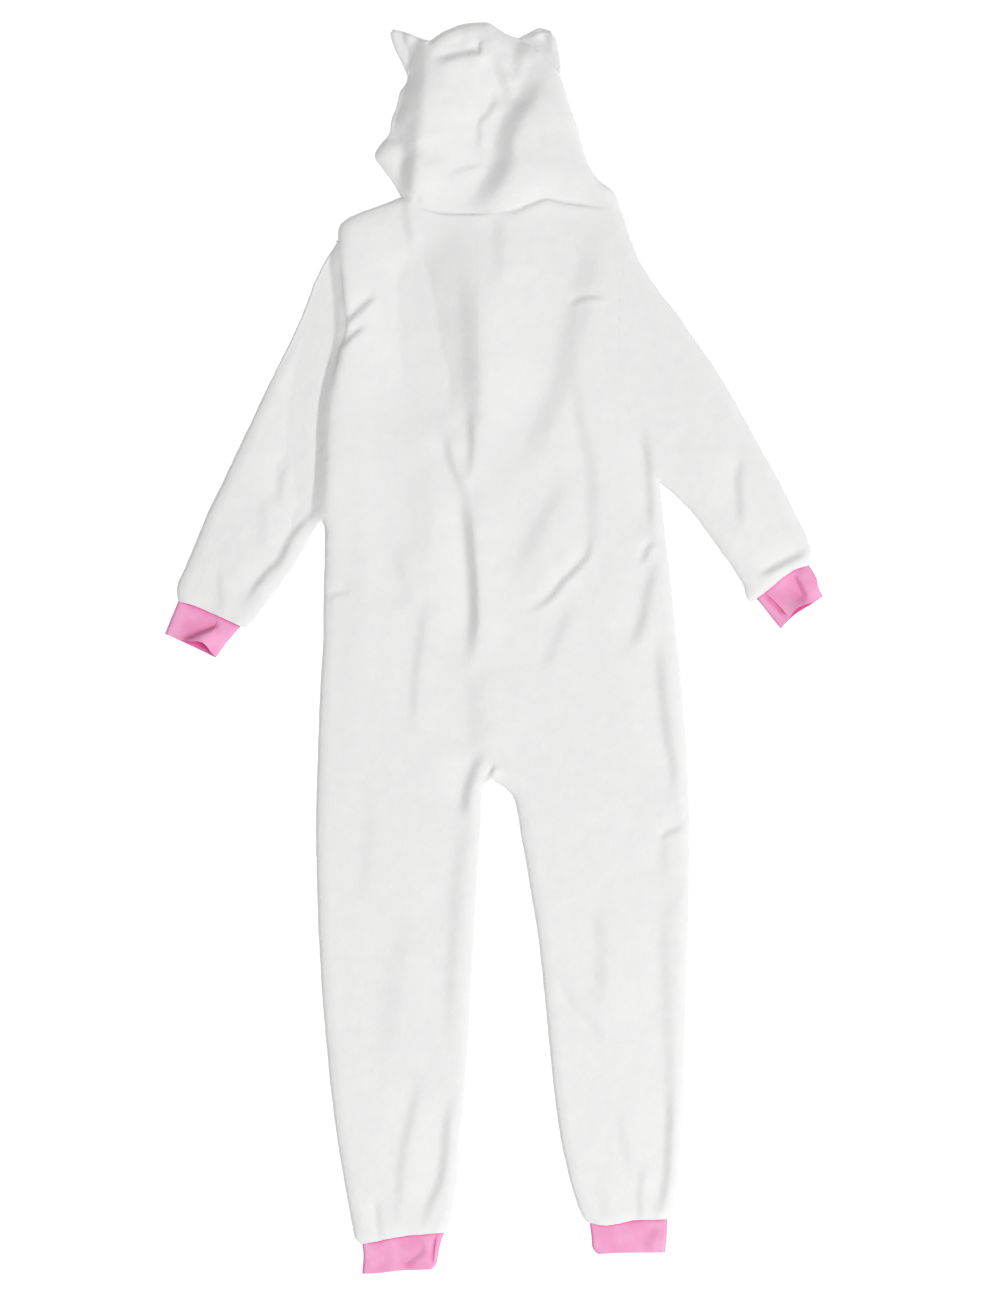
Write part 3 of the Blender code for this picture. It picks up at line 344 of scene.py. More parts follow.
LEG_FOLDS = {
    "left_inner": (
        11, 0, 1.6,
        ((-26, -170), (-35, -218), (-43, -254), (-47, -302), (-50, -350), (-53, -422), (-53, -500)),
    ),
    "left_inner_low": (
        8, 0, 2.3, ((-44, -530), (-56, -566), (-59, -602), (-65, -638), (-77, -668), (-90, -704)),
    ),
    "left_middle": (
        9, 0, 1.7, ((-86, -500), (-101, -566), (-109, -602), (-113, -638), (-116, -696)),
    ),
    "left_outer": (5, -1.8, 0.6, ((-143, -652), (-141, -680), (-136, -720))),
    "left_calf": (17, 0, 1.3, ((-104, -310), (-120, -400), (-131, -510))),
    "left_thigh": (13, 0, 0.9, ((-155, -140), (-149, -206), (-161, -320))),
    "right_knee": (8, -0.6, 1.4, ((72, -396), (97, -428), (115, -446), (138, -470))),
    "right_middle": (12, 0, 1.5, ((124, -300), (128, -370), (127, -440))),
    "right_outer": (
        10, 0, 1.5, ((211, -270), (205, -340), (206, -410), (209, -482), (211, -542), (209, -602)),
    ),
    "right_outer_low": (
        8, 0, 2.3, ((211, -520), (210, -580), (206, -636), (198, -672), (188, -700)),
    ),
    "right_shin": (7, 0, 1.5, ((180, -610), (175, -645), (176, -700))),
    "right_shin_upper": (8, 0, 0.9, ((148, -550), (156, -600), (168, -650))),
    "right_shin_inner": (10, 0, 0.8, ((124, -620), (130, -655), (134, -700))),
}
SLEEVE_FOLDS = {
    "left_beside_body": (
        17, -0.8, 8.8,
        (
            (-188, 590), (-193, 500), (-193, 470), (-190, 440), (-187, 403), (-188, 370),
            (-199, 323), (-206, 282), (-209, 202), (-211, 160), (-212, 70),
        ),
    ),
    "left_long": (
        6, -0.8, 2.4,
        ((-202, 174), (-227, 154), (-245, 130), (-257, 106), (-275, 88), (-293, 64), (-304, 42)),
    ),
    "left_elbow": (8, -0.5, 1.6, ((-241, 234), (-253, 214), (-257, 190), (-256, 168))),
    "left_forearm": (9, 0, 1.0, ((-277, 186), (-278, 150), (-277, 116))),
    "left_cuff": (7, 0, 1.2, ((-331, 98), (-328, 70), (-325, 36))),
    "right_cuff": (5.5, -1.4, 2.8, ((382, 121), (373, 115), (355, 106), (337, 97), (312, 84))),
    "right_elbow": (8, -0.4, 2.0, ((297, 236), (293, 202), (294, 176), (297, 136))),
    "right_underarm": (9, -0.9, 0, ((243, 272), (226, 254), (206, 234))),
    "right_inner": (10, 0, 0.9, ((250, 160), (272, 132), (292, 102))),
}
HOOD_FOLDS = {
    "left_drop": (
        21, -3.4, 13.0,
        ((-92, 800), (-94, 740), (-96, 700), (-99, 665), (-101, 640), (-101, 612), (-100, 585)),
    ),
    "left_drop_middle": (
        14, -1.6, 6.0, ((-101, 640), (-101, 615), (-102, 590), (-105, 565), (-106, 530)),
    ),
    "left_drop_low": (11, -0.8, 4.0, ((-101, 600), (-104, 575), (-105, 552), (-103, 528))),
    "left_drop_outer": (
        10, 0, 4.6, ((-102, 690), (-105, 672), (-111, 655), (-117, 635), (-119, 618), (-115, 600)),
    ),
    "flange": (20, 0, 3.0, ((-126, 680), (-128, 590), (-118, 500))),
    "flange_corner": (3, -2.0, 0, ((-126, 606), (-118, 608), (-109, 613))),
    "flange_upper": (4, -1.2, 0, ((-119, 632), (-115, 622), (-112, 610))),
    "tuck": (7, -1.8, -3.6, ((-76, 701), (-61, 705), (-46, 709.5), (-22, 714.5), (-8, 716))),
    "tuck_seam": (3, -0.8, 0.9, ((-14, 730), (-17.5, 722), (-18, 708))),
    "crown_crease": (8, -0.6, 1.4, ((-34, 752), (-34, 738), (-35, 716))),
    "trough": (
        19, -2.0, 8.4,
        (
            (54, 716), (52, 696), (49, 680), (40, 662), (25, 640), (17, 622), (12, 600),
            (10, 582), (2, 564), (-7, 550), (-20, 530), (-34, 508),
        ),
    ),
    "trough_fork": (9, -0.6, 2.8, ((-3, 713), (2, 700), (9, 684), (14, 668), (20, 648))),
    "crown_pit": (11, -2.4, 3.2, ((38, 738), (31, 716), (28, 703), (26, 676))),
    "crown_right": (12, 0, -3.8, ((-14, 742), (8, 734), (28, 722), (52, 704))),
    "crease": (6, -0.8, 1.9, ((0, 672), (-1, 652), (-8, 640), (-17, 630), (-19, 612), (-21, 590))),
    "low_crease": (5, -0.6, -1.3, ((-58, 566), (-36, 575), (-12, 579))),
    "left_soft": (8, -1.3, 0, ((-84, 612), (-77, 596), (-73, 576))),
    "right_soft": (13, -1.8, 0, ((22, 596), (44, 602), (66, 610))),
    "neck": (
        4, -2.2, 1.9,
        ((146, 522), (115, 530), (84, 534), (63, 538), (43, 531), (22, 523), (-6, 520)),
    ),
    "neck_line": (2.4, -1.0, -1.0, ((-100, 530), (-60, 521), (-20, 520), (8, 521))),
    "neck_corner": (4, -2.6, 0, ((-114, 543), (-99, 540), (-84, 536))),
    "seam": (2.4, -0.2, 0, ((-20, 522), (-17.5, 640), (-17.5, 752))),
}
EAR_FOLDS = {
    "left_lean": (16, 0, 5.6, ((-114, 790), (-111, 720), (-107, 650))),
    "left_crease": (8, -0.6, 3.0, ((-109, 748), (-106, 730), (-103, 716), (-98, 696))),
    "right_pit": (9, -2.4, 3.8, ((67, 750), (63, 724), (61, 694))),
    "right_rim": (5, 0.6, -4.6, ((20, 718), (40, 731), (54, 739.5), (90, 742))),
}
CUFF_FOLDS = {
    "sleeve_left_dent": (5.5, -1.0, -5.4, ((-378, 9), (-362, 14), (-350, 19), (-326, 30))),
    "sleeve_left_strip": (1.3, -0.7, 1.0, ((-303, 28), (-314, 13), (-330, -8))),
    "sleeve_right_dent": (6, -1.0, 3.6, ((358, 92), (366, 76), (378, 54))),
    "sleeve_right_strip": (1.3, -1.0, 2.0, ((321, 69), (338, 53), (354, 36))),
    "leg_left_dent": (9, -1.0, -2.6, ((-112, -744), (-96, -732), (-78, -716))),
    "leg_left_strip": (1.5, -0.8, 1.2, ((-69, -701), (-72, -722), (-73, -743))),
    "leg_right_dent": (8, -0.6, -1.4, ((178, -724), (188, -708), (200, -690))),
}
FOLDS = BODY_FOLDS | LEG_FOLDS | SLEEVE_FOLDS | HOOD_FOLDS | CUFF_FOLDS

# Lumps and waves of the surface: how far across, how high, and a seed for their places
NAP = ((90.0, 0.6, 11), (34.0, 0.3, 12), (7.5, 0.12, 13), (3.2, 0.05, 14))

# How far the pile makes outlines wander: how far across, how far sideways, and a seed
WANDER = ((16.0, 0.2, 31), (6.5, 0.25, 41), (3.2, 0.2, 51))

LATTICE = 256  # random values each way, between which lumps and waves change smoothly
LATTICE_START = 1000  # keeps places in the lattice positive

# The front closes with buttons on a band
BAND_HALF_WIDTH = 16.0
BAND_POINT_HALF = 2.0  # half width at the lower end, which is pointed
BAND_TOP_Y = 495.0
BAND_START = 2.0  # how far below the neck the front starts to follow the band
BAND_END_Y = -94.0
BAND_POINT_Y = -105.0
BUTTON_COUNT = 6
BUTTON_TOP_Y = 478.0
BUTTON_PITCH = 104.0
BUTTON_RADIUS = 9.0
BUTTON_THICK = 1.7
BUTTON_RIM = 1.6
BUTTON_DISH = 0.5
BUTTON_HOLE = 1.1
BUTTON_HOLE_AT = 2.3
BUTTON_SIDES = 48
BUTTON_EDGE = 0.35  # how far the edges are rounded
HOLE_SIDES = 12
RECESS = 2.0  # depth of the pile that parts round a button
RECESS_SLOPE = 2.5
RECESS_GAP = 0.4


def smooth(points):
    """Points along a smooth curve through the given ones."""
    points = np.array(points, float)
    if len(points) == 2:
        return points[0] + np.linspace(0, 1, 2 * CURVE_STEPS)[:, None] * (points[1] - points[0])
    knots = np.r_[0, np.cumsum(np.sqrt(np.linalg.norm(np.diff(points, axis=0), axis=1)))]
    slopes = np.gradient(points, knots, axis=0)
    spans = [np.linspace(a, b, CURVE_STEPS, endpoint=False) for a, b in zip(knots, knots[1:])]
    t = np.r_[np.concatenate(spans), knots[-1]]
    i = np.clip(np.searchsorted(knots, t, side="right") - 1, 0, len(points) - 2)
    h = (knots[i + 1] - knots[i])[:, None]
    s = (t - knots[i])[:, None] / h
    from_start = (2 * s**3 - 3 * s**2 + 1) * points[i] + (s**3 - 2 * s**2 + s) * h * slopes[i]
    to_end = (3 * s**2 - 2 * s**3) * points[i + 1] + (s**3 - s**2) * h * slopes[i + 1]
    return from_start + to_end


def ramp(values, start, end):
    """Rises smoothly from 0 at start to 1 at end."""
    t = np.clip((values - start) / (end - start), 0, 1)
    return t * t * (3 - 2 * t)


def nearness(distance, reach):
    """1 at an edge, and 0 from the reach on."""
    return np.clip(1 - distance / reach, 0, 1)


class Line:
    """A curve through tables of points, smooth unless bare, that gives the point at each share."""

    def __init__(self, *tables, by_height=False, bare=False):
        runs = [np.array(table, float) if bare else smooth(table) for table in tables]
        self.points = np.vstack(runs)
        steps = np.linalg.norm(np.diff(self.points, axis=0), axis=1)
        self.length = steps.sum()
        walked = np.r_[0, np.cumsum(steps)]
        if by_height:
            walked = self.points[0, 1] - self.points[:, 1]
        self.shares = walked / walked[-1]

    def __call__(self, t):
        return np.stack([np.interp(t, self.shares, self.points[:, k]) for k in (0, 1)], axis=-1)


class Patch:
    """Fills four lines. near and far are at u = 0 and 1, start and end at v = 0 and 1."""

    def __init__(self, start, end, near, far):
        self.start, self.end, self.near, self.far = start, end, near, far

    def __call__(self, u, v):
        a, b = np.broadcast_arrays(u, v)
        u, v = a[..., None], b[..., None]
        across = self.start(a) * (1 - v) + self.end(a) * v
        down = self.near(b) * (1 - u) + self.far(b) * u
        first = self.start(0.0) * (1 - u) + self.start(1.0) * u
        last = self.end(0.0) * (1 - u) + self.end(1.0) * u
        return across + down - first * (1 - v) - last * v


def spread(width, count, near_steps, far_steps):
    """Shares of a width: close together by each edge, and count even steps between."""
    middle = np.linspace(near_steps[-1], width - far_steps[-1], count + 1)[1:-1]
    far_end = width - np.array(far_steps)[::-1]
    return np.r_[near_steps, middle, far_end] / width


def grid(plan, rows, cell, near_steps, far_steps):
    """Plan points of a grid whose columns keep their distance from both edges."""
    widths = np.linalg.norm(plan.near(rows) - plan.far(rows), axis=-1)
    count = max(3, round((widths.mean() - near_steps[-1] - far_steps[-1]) / cell))
    u = np.array([spread(width, count, near_steps, far_steps) for width in widths])
    return plan(u, rows[:, None])


class Edges:
    """The lines along which the cloth bends over to the floor, ready to be measured from."""

    def __init__(self, lines):
        self.starts = np.vstack([line[:-1] for line in lines])
        self.runs = np.vstack([np.diff(line, axis=0) for line in lines])
        middles = self.starts + self.runs / 2
        self.tree = kdtree.KDTree(len(middles))
        for number, (x, y) in enumerate(middles):
            self.tree.insert((x, y, 0), number)
        self.tree.balance()

    def measure(self, points, towards):
        """Distance of each point from the nearest edge, and the direction away from that edge.

        On the edge itself the direction is across it, to the side of the point in towards.
        """
        flat = points.reshape(-1, 2)
        aim = np.broadcast_to(towards, points.shape).reshape(-1, 2)
        pick = np.array([self.tree.find((x, y, 0))[1] for x, y in flat])
        best = np.full(len(flat), np.inf)
        away = np.zeros_like(flat)
        along = np.zeros_like(flat)
        for step in (-1, 0, 1):
            near = np.clip(pick + step, 0, len(self.starts) - 1)
            start, run = self.starts[near], self.runs[near]
            share = ((flat - start) * run).sum(1) / np.maximum((run**2).sum(1), 1e-12)
            gap = flat - start - np.clip(share, 0, 1)[:, None] * run
            distance = np.linalg.norm(gap, axis=1)
            closer = distance < best
            best = np.where(closer, distance, best)
            away = np.where(closer[:, None], gap, away)
            along = np.where(closer[:, None], run, along)
        across = np.stack([-along[:, 1], along[:, 0]], axis=-1)
        across *= np.sign((across * (aim - flat)).sum(1))[:, None]
        away = np.where(best[:, None] > ON_EDGE, away, across)
        away /= np.maximum(np.linalg.norm(away, axis=1), 1e-9)[:, None]
        return best.reshape(points.shape[:-1]), away.reshape(points.shape)


def fold_height(points, folds=FOLDS):
    """What all the folds add to the height at each point."""
    flat = points.reshape(-1, 2)
    total = np.zeros(len(flat))
    for width, ridge, roll, path in folds.values():
        line = smooth(path)
        reach = FOLD_REACH * width
        close = ((flat > line.min(0) - reach) & (flat < line.max(0) + reach)).all(1)
        if not close.any():
            continue
        here = flat[close]
        runs = np.diff(line, axis=0)
        lengths = np.linalg.norm(runs, axis=1)
        apart = here[:, None] - line[:-1]
        share = np.clip((apart * runs).sum(-1) / lengths**2, 0, 1)
        distances = np.linalg.norm(apart - share[..., None] * runs, axis=-1)
        pick = distances.argmin(1)
        index = np.arange(len(here))
        run, gap = runs[pick], apart[index, pick]
        side = np.sign(run[:, 0] * gap[:, 1] - run[:, 1] * gap[:, 0])
        chord = line[-1] - line[0]
        t = np.clip((here - line[0]) @ chord / (chord @ chord), 0, 1)
        fade = ramp(np.minimum(t, 1 - t), 0, FOLD_ENDS)
        s = side * distances[index, pick] / width
        core, wider = np.exp(-(s**2)), np.exp(-((s / FOLD_WIDER) ** 2))
        bump = ridge * (FOLD_CORE * core + (1 - FOLD_CORE) * wider)
        tail = min(FOLD_TAIL, FOLD_TAIL_MOST / width)
        steep = FOLD_STEEP * s
        turn = roll * steep / (1 + steep**4) ** 0.25 * np.exp(-((s / tail) ** 2))
        total[close] += fade * (bump + turn)
    return total.reshape(points.shape[:-1])


def uneven(points, size, seed):
    """Smooth values from -1 to 1 that change over the given distance."""
    lattice = np.random.default_rng(seed).uniform(-1, 1, (LATTICE, LATTICE))
    scaled = points / size + LATTICE_START
    cell = np.floor(scaled).astype(int)
    x, y = np.moveaxis(ramp(scaled - cell, 0, 1), -1, 0)
    i, j = np.moveaxis(cell, -1, 0)
    corner = [lattice[(i + a) % LATTICE, (j + b) % LATTICE] for a in (0, 1) for b in (0, 1)]
    first, second = corner[0] * (1 - y) + corner[1] * y, corner[2] * (1 - y) + corner[3] * y
    return first * (1 - x) + second * x


def wander(points):
    """How far the uneven pile moves each point sideways, the same in every piece."""
    shifts = [
        sum(reach * uneven(points, size, seed + axis) for size, reach, seed in WANDER)
        for axis in (0, 1)
    ]
    return np.stack(shifts, axis=-1)


def nap(points):
    """The small lumps of the plush and the slow waves of cloth that lies loosely."""
    return sum(height * uneven(points, size, seed) for size, height, seed in NAP)


def hood_share(points):
    """0 on the body and 1 on the hood, changing smoothly at the neck."""
    return ramp(points[..., 1], NECK_Y, CROWN_Y)


def cloth_top(points):
    """How high the cloth lies away from its edges, with its folds."""
    hood_top = HOOD_TOP - CROWN_FALL * ramp(points[..., 1], CROWN_FROM, CROWN_TO)
    return BODY_TOP + (hood_top - BODY_TOP) * hood_share(points) + fold_height(points)


def lit_reach(reach, away):
    """How far from an edge the cloth bends over, which is less on its right sides."""
    return reach * (1 - LIT_SIDE * np.clip(-away[..., 0], 0, 1))


def bent_layer(points, top, low, wall, level, away):
    """Outer and inner points of a wall that comes down to low at its edges, where level is 1."""
    rise = np.sqrt(1 - level**2)
    outer = np.dstack([points, low + (top - low) * rise])
    inner_plan = points + away * (wall * level)[..., None]
    inner = np.dstack([inner_plan, low + (top - wall - low) * rise])
    return outer, inner


def over_layer(points, edges, hems, towards):
    """Outer and inner points of the upper layer of the body, the sleeves and the hood."""
    top = cloth_top(points)
    if hems is not None:
        distance, _ = hems.measure(points, towards)
        top -= HEM_DROP * nearness(distance, HEM_REACH) ** 2
    distance, away = edges.measure(points, towards)
    top -= SIDE_DROP * nearness(distance, SIDE_REACH) ** 2
    reach = BODY_ROUND + (HOOD_ROUND - BODY_ROUND) * hood_share(points)
    level = nearness(distance - TUCK, lit_reach(reach, away))
    top = np.maximum(top, LOWEST_TOP + EDGE_LIFT * level) + nap(points)
    return bent_layer(points, top, BACK_BASE, FLEECE, level, away)


def under_layer(points, edges, towards, wall, lip, reach):
    """The layer on the floor. Its lower edge is bent up to the height of lip."""
    distance, away = edges.measure(points, towards)
    lift = 1 - np.sqrt(1 - nearness(distance - TUCK, UNDER_ROUND) ** 2)
    outer = np.dstack([points, lip * lift])
    amount = wall * nearness(distance - TUCK, reach)
    inner = np.dstack([points + away * amount[..., None], np.full(distance.shape, wall)])
    return outer, inner


def joined(over, under):
    """Outer and inner points all round, from those of the upper and the lower layer."""
    return [np.hstack(pair) for pair in zip(over, under)]


def add_object(name, data):
    """A new object in the scene."""
    item = bpy.data.objects.new(name, data)
    bpy.context.scene.collection.objects.link(item)
    return item


def quads(rows, columns, wrap):
    """Corner numbers of the quads between the rows and columns of a grid."""
    i, j = np.meshgrid(
        np.arange(rows - 1), np.arange(columns if wrap else columns - 1), indexing="ij"
    )
    k = (j + 1) % columns
    corners = [i * columns + j, (i + 1) * columns + j, (i + 1) * columns + k, i * columns + k]
    return np.stack(corners, axis=-1).reshape(-1, 4)


def shell(node, outer, inner, slot="fleece", wrap=False):
    """A closed wall between two grids of the same size, as the piece that replaces a node."""
    name = ("plush_" if slot == "fleece" else "jersey_") + node
    rows, columns = outer.shape[:2]
    count = rows * columns
    over = quads(rows, columns, wrap)
    numbers = np.arange(count).reshape(rows, columns)
    rims = [numbers[0], numbers[-1][::-1]]
    if wrap:
        rims = [np.r_[rim, rim[0]] for rim in rims]
    else:
        rims += [numbers[::-1, 0], numbers[:, -1]]
    strips = [np.stack([r[:-1], r[1:], r[1:] + count, r[:-1] + count], axis=-1) for r in rims]
    faces = np.vstack([over, over[:, ::-1] + count, *strips])
    points = np.vstack([outer.reshape(-1, 3), inner.reshape(-1, 3)])
    if slot == "fleece":
        points[:, :2] += wander(points[:, :2])
    points *= MM
    if upside_down(points, faces):
        faces = faces[:, ::-1]
    mesh = bpy.data.meshes.new(name)
    mesh.from_pydata(points.tolist(), [], faces.tolist())
    mesh.materials.append(LOOKS[slot])
    mesh.shade_smooth()
    mesh.set_sharp_from_angle(angle=np.radians(SHARP_CLOTH))
    piece = add_object(name, mesh)
    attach(piece, "root")
    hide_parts(node)


def upside_down(points, faces):
    """True where a closed mesh of quads has its faces pointing in."""
    a, b, c, d = (points[faces[:, k]] for k in range(4))
    volume = (a * np.cross(b, c)).sum() + (a * np.cross(c, d)).sum()
    return volume < 0


def body_lines():
    """The boundary lines of both halves of body and legs."""
    lines = {}
    for column, (side, cut) in enumerate(OUTLINES.items(), 1):
        table = [(section[column], section[0]) for section in INNER_SECTIONS]
        split = [y for _, y in table].index(CROTCH_Y)
        centre, inseam = table[: split + 1], [*table[split:], *cut.inner_end]
        lines[side] = {
            "centre": smooth(centre),
            "inseam": smooth(inseam),
            "inner": Line(centre, inseam, by_height=True),
            "outer": Line(cut.tip, cut.armhole, cut.side, by_height=True),
            "top": Line(cut.neck, *cut.shoulders),
            "hem": Line(cut.hem),
        }
    return lines


def garment_edges(lines):
    """Every line along which the laid cloth bends over to the floor."""
    cuts = OUTLINES.values()
    tables = [table for cut in cuts for table in (*cut.shoulders, cut.tip, cut.side)]
    tables += [table for cut in cuts for table in (cut.sleeve_outer, cut.sleeve_inner)]
    tables += [table for cut in cuts for table in (cut.hood_side, cut.hood_crown)]
    return Edges([smooth(table) for table in tables] + [half["inseam"] for half in lines.values()])


def row_shares(length, cell, start_steps, end_steps, stops=()):
    """Shares of a length for the rows of a grid, with a row at each stop."""
    ends = [start_steps[-1], *stops, length - end_steps[-1]]
    runs = [
        np.linspace(a, b, max(2, round((b - a) / cell) + 1))[1:] for a, b in zip(ends, ends[1:])
    ]
    far_end = length - np.array(end_steps[:-1])[::-1]
    return np.r_[start_steps, np.concatenate(runs), far_end] / length


def crotch_stops(top_y):
    """How far below the top of a half its rows above and below the crotch are."""
    return top_y - CROTCH_Y - CROTCH_GAP, top_y - CROTCH_Y + CROTCH_GAP


def back_half(side, lines, edges):
    """One half of the back, from shoulder to ankle."""
    half = lines[side]
    plan = Patch(half["top"], half["hem"], half["inner"], half["outer"])
    top_y, hem_y = half["inner"].points[0, 1], half["inner"].points[-1, 1]
    rows = row_shares(top_y - hem_y, BACK_CELL, EDGE_STEPS, SEAM_STEPS, crotch_stops(top_y))
    points = grid(plan, rows, BACK_CELL, EDGE_STEPS, EDGE_STEPS)
    towards = points.mean(1, keepdims=True)
    shell("back_" + side, *over_layer(points, edges, Edges([half["hem"].points]), towards))


def front_half(side, lines, edges):
    """One half of the front, flat on the floor."""
    half, cut = lines[side], OUTLINES[side]
    sign = -1 if side == "left" else 1
    table = cut.front_neck[::-1]
    top = Line(table, *cut.shoulders)
    centre = half["centre"]
    in_band = (centre[:, 1] > BAND_END_Y) & (centre[:, 1] < table[0][1] - BAND_START)
    beside = centre[in_band] + (sign * (BAND_HALF_WIDTH + TUCK), 0)
    below = centre[centre[:, 1] < BAND_POINT_Y]
    inner_points = [table[0], *beside, *below, *half["inseam"][1:]]
    inner_line = Line(inner_points, by_height=True, bare=True)
    plan = Patch(top, half["hem"], inner_line, half["outer"])
    top_y, hem_y = inner_line.points[0, 1], inner_line.points[-1, 1]
    stops = (top_y - BAND_END_Y, top_y - BAND_POINT_Y, *crotch_stops(top_y))
    rows = row_shares(top_y - hem_y, FRONT_CELL, SEAM_STEPS, SEAM_STEPS, stops)
    points = grid(plan, rows, FRONT_CELL, FRONT_STEPS, FRONT_STEPS)
    towards = points.mean(1, keepdims=True)
    outer, _ = under_layer(points, edges, towards, FLEECE, UNDER_LIP, BODY_ROUND)
    inner = np.dstack([points, np.full(points.shape[:-1], FRONT_TOP)])
    shell("front_" + side, outer, inner)


def sleeve(side, edges):
    """A sleeve: one tube of fleece pressed flat, open at the armhole and at the cuff."""
    cut = OUTLINES[side]
    near, far, end = Line(cut.sleeve_outer), Line(cut.sleeve_inner), Line(cut.sleeve_hem)
    plan = Patch(Line(cut.armhole), end, near, far)
    rows = row_shares((near.length + far.length) / 2, SLEEVE_CELL, SEAM_STEPS, SEAM_STEPS)
    upper = grid(plan, rows, SLEEVE_CELL, EDGE_STEPS, EDGE_STEPS)
    lower = grid(plan, rows, FRONT_CELL, UNDER_STEPS, UNDER_STEPS)[:, ::-1]
    towards = upper.mean(1, keepdims=True)
    over = over_layer(upper, edges, Edges([end.points]), towards)
    under = under_layer(lower, edges, towards, FLEECE, FRONT_TOP, BODY_ROUND)
    shell("sleeve_" + side, *joined(over, under), wrap=True)


def hood_half(side, edges):
    """Half of the hood: from the seam up the back, round its side and under to the face."""
    cut = OUTLINES[side]
    silhouette = Line(cut.hood_side, EARS[side].base[::-1], cut.hood_crown)
    back = Patch(Line(cut.neck), Line(CROWN_BACK), Line(HOOD_SEAM), silhouette)
    chin = (cut.front_neck[-1], cut.face[0])
    front = Patch(Line(cut.front_neck, chin), Line(CROWN_FRONT), silhouette, Line(cut.face))
    rows = row_shares(silhouette.length, HOOD_CELL, SEAM_STEPS, SEAM_STEPS)
    upper = grid(back, rows, HOOD_CELL, HOOD_SEAM_STEPS, HOOD_EDGE_STEPS)
    lower = grid(front, rows, 2 * HOOD_CELL, UNDER_STEPS, (TUCK,))
    over = over_layer(upper, edges, None, upper[:, 3:4])
    side_edge = Edges([silhouette.points])
    under = under_layer(lower, side_edge, lower[:, -2:-1], FLEECE, FRONT_TOP, HOOD_ROUND)
    shell("hood_" + side, *joined(over, under))


def ear(side, shape):
    """An ear: a flat front on the floor and a back that lies over it."""
    tip = (shape.upper[-1], shape.lower[-1])
    plan = Patch(Line(shape.base), Line(tip), Line(shape.upper), Line(shape.lower))
    edges = Edges([smooth(shape.upper), smooth(shape.lower), smooth(tip)])
    points = plan(EAR_COLUMNS[None, :], EAR_ROWS[:, None])
    towards = points.mean((0, 1))
    distance, away = edges.measure(points, towards)
    level = nearness(distance - TUCK, lit_reach(EAR_ROUND, away))
    free = ramp(EAR_ROWS, 0, EAR_JOINS)[:, None]
    top = (1 - free) * cloth_top(points) + free * (shape.top + fold_height(points, EAR_FOLDS))
    top = np.maximum(top, EAR_LOWEST) + nap(points)
    shell(f"ear_{side}_back", *bent_layer(points, top, EAR_BACK_BASE, EAR_WALL, level, away))
    under, _ = under_layer(points, edges, towards, EAR_WALL, UNDER_LIP, EAR_ROUND)
    flat = np.dstack([points, np.full(points.shape[:-1], EAR_WALL)])
    shell(f"ear_{side}_front", under, flat)


def cuff(name, shape):
    """A jersey cuff: a short tube pressed flat, whose upper edge may gape at the mouth."""
    near, far = Line(shape.outer), Line(shape.inner)
    plan = Patch(Line(shape.seam), Line(shape.mouth), near, far)
    edges = Edges([near.points, far.points])
    rows = np.linspace(CUFF_START, 1, CUFF_ROWS)
    widths = np.linalg.norm(near(rows) - far(rows), axis=-1)
    u = np.array([spread(width, CUFF_COLUMNS, CUFF_STEPS, CUFF_STEPS) for width in widths])
    lift = np.exp(-(((u - shape.gape_at) / GAPE_SPREAD) ** 2)) * rows[:, None] ** 2
    lip = CUFF_LIP if shape.gape else 0
    upper = plan(u, rows[:, None] - shape.gape / near.length * lift)
    lower = grid(plan, rows, CUFF_UNDER_CELL, CUFF_UNDER_STEPS, CUFF_UNDER_STEPS)[:, ::-1]
    middle = lower.mean(1, keepdims=True)
    distance, away = edges.measure(upper, middle)
    level = nearness(distance - TUCK, CUFF_ROUND)
    top = np.maximum(CUFF_TOP + fold_height(upper) + lip * lift, CUFF_LOWEST)
    over = bent_layer(upper, top, JERSEY, JERSEY, level, away)
    under = under_layer(lower, edges, middle, JERSEY, JERSEY, CUFF_ROUND)
    shell(name, *joined(over, under), "jersey", wrap=True)


def button_band(centre):
    """The band up the middle of the front, whose pile parts round each button."""
    top_y = OUTLINES["left"].front_neck[-1][1] - TUCK
    y = np.r_[top_y, np.arange(BAND_TOP_Y, BAND_END_Y, -BAND_CELL), BAND_END_Y]
    half = np.full(len(y), BAND_HALF_WIDTH)
    y, half = np.r_[y, BAND_POINT_Y + 1], np.r_[half, BAND_POINT_HALF]
    share = np.linspace(-1, 1, 2 * round(BAND_HALF_WIDTH / BAND_CELL) + 1)
    x = np.interp(-y, -centre[:, 1], centre[:, 0])
    points = np.dstack([x[:, None] + half[:, None] * share, np.repeat(y[:, None], len(share), 1)])
    dent = np.zeros(points.shape[:-1])
    for at in button_places(centre):
        apart = np.linalg.norm(points - at, axis=-1) - BUTTON_RADIUS - RECESS_GAP
        dent = np.maximum(dent, RECESS * nearness(apart, RECESS_SLOPE))
    outer, inner = np.dstack([points, dent]), np.dstack([points, np.full(dent.shape, FRONT_TOP)])
    shell("button_band", outer, inner)


def button_places(centre):
    """Where the middle of each button is."""
    heights = BUTTON_TOP_Y - BUTTON_PITCH * np.arange(BUTTON_COUNT)
    return [np.array((np.interp(-y, -centre[:, 1], centre[:, 0]), y)) for y in heights]


def ring_solid(profile, sides):
    """A closed solid turned round its axis from rows of radius and height."""
    angle = np.linspace(0, 2 * np.pi, sides, endpoint=False)
    rows = [[(r * np.cos(a), r * np.sin(a), z) for a in angle] for r, z in profile]
    mesh = bpy.data.meshes.new("turned")
    faces = quads(len(rows), sides, True).tolist()
    faces += [tuple(range(sides)), tuple(len(rows) * sides - 1 - k for k in range(sides))]
    mesh.from_pydata((np.array(rows).reshape(-1, 3) * MM).tolist(), [], faces)
    return add_object("turned", mesh)


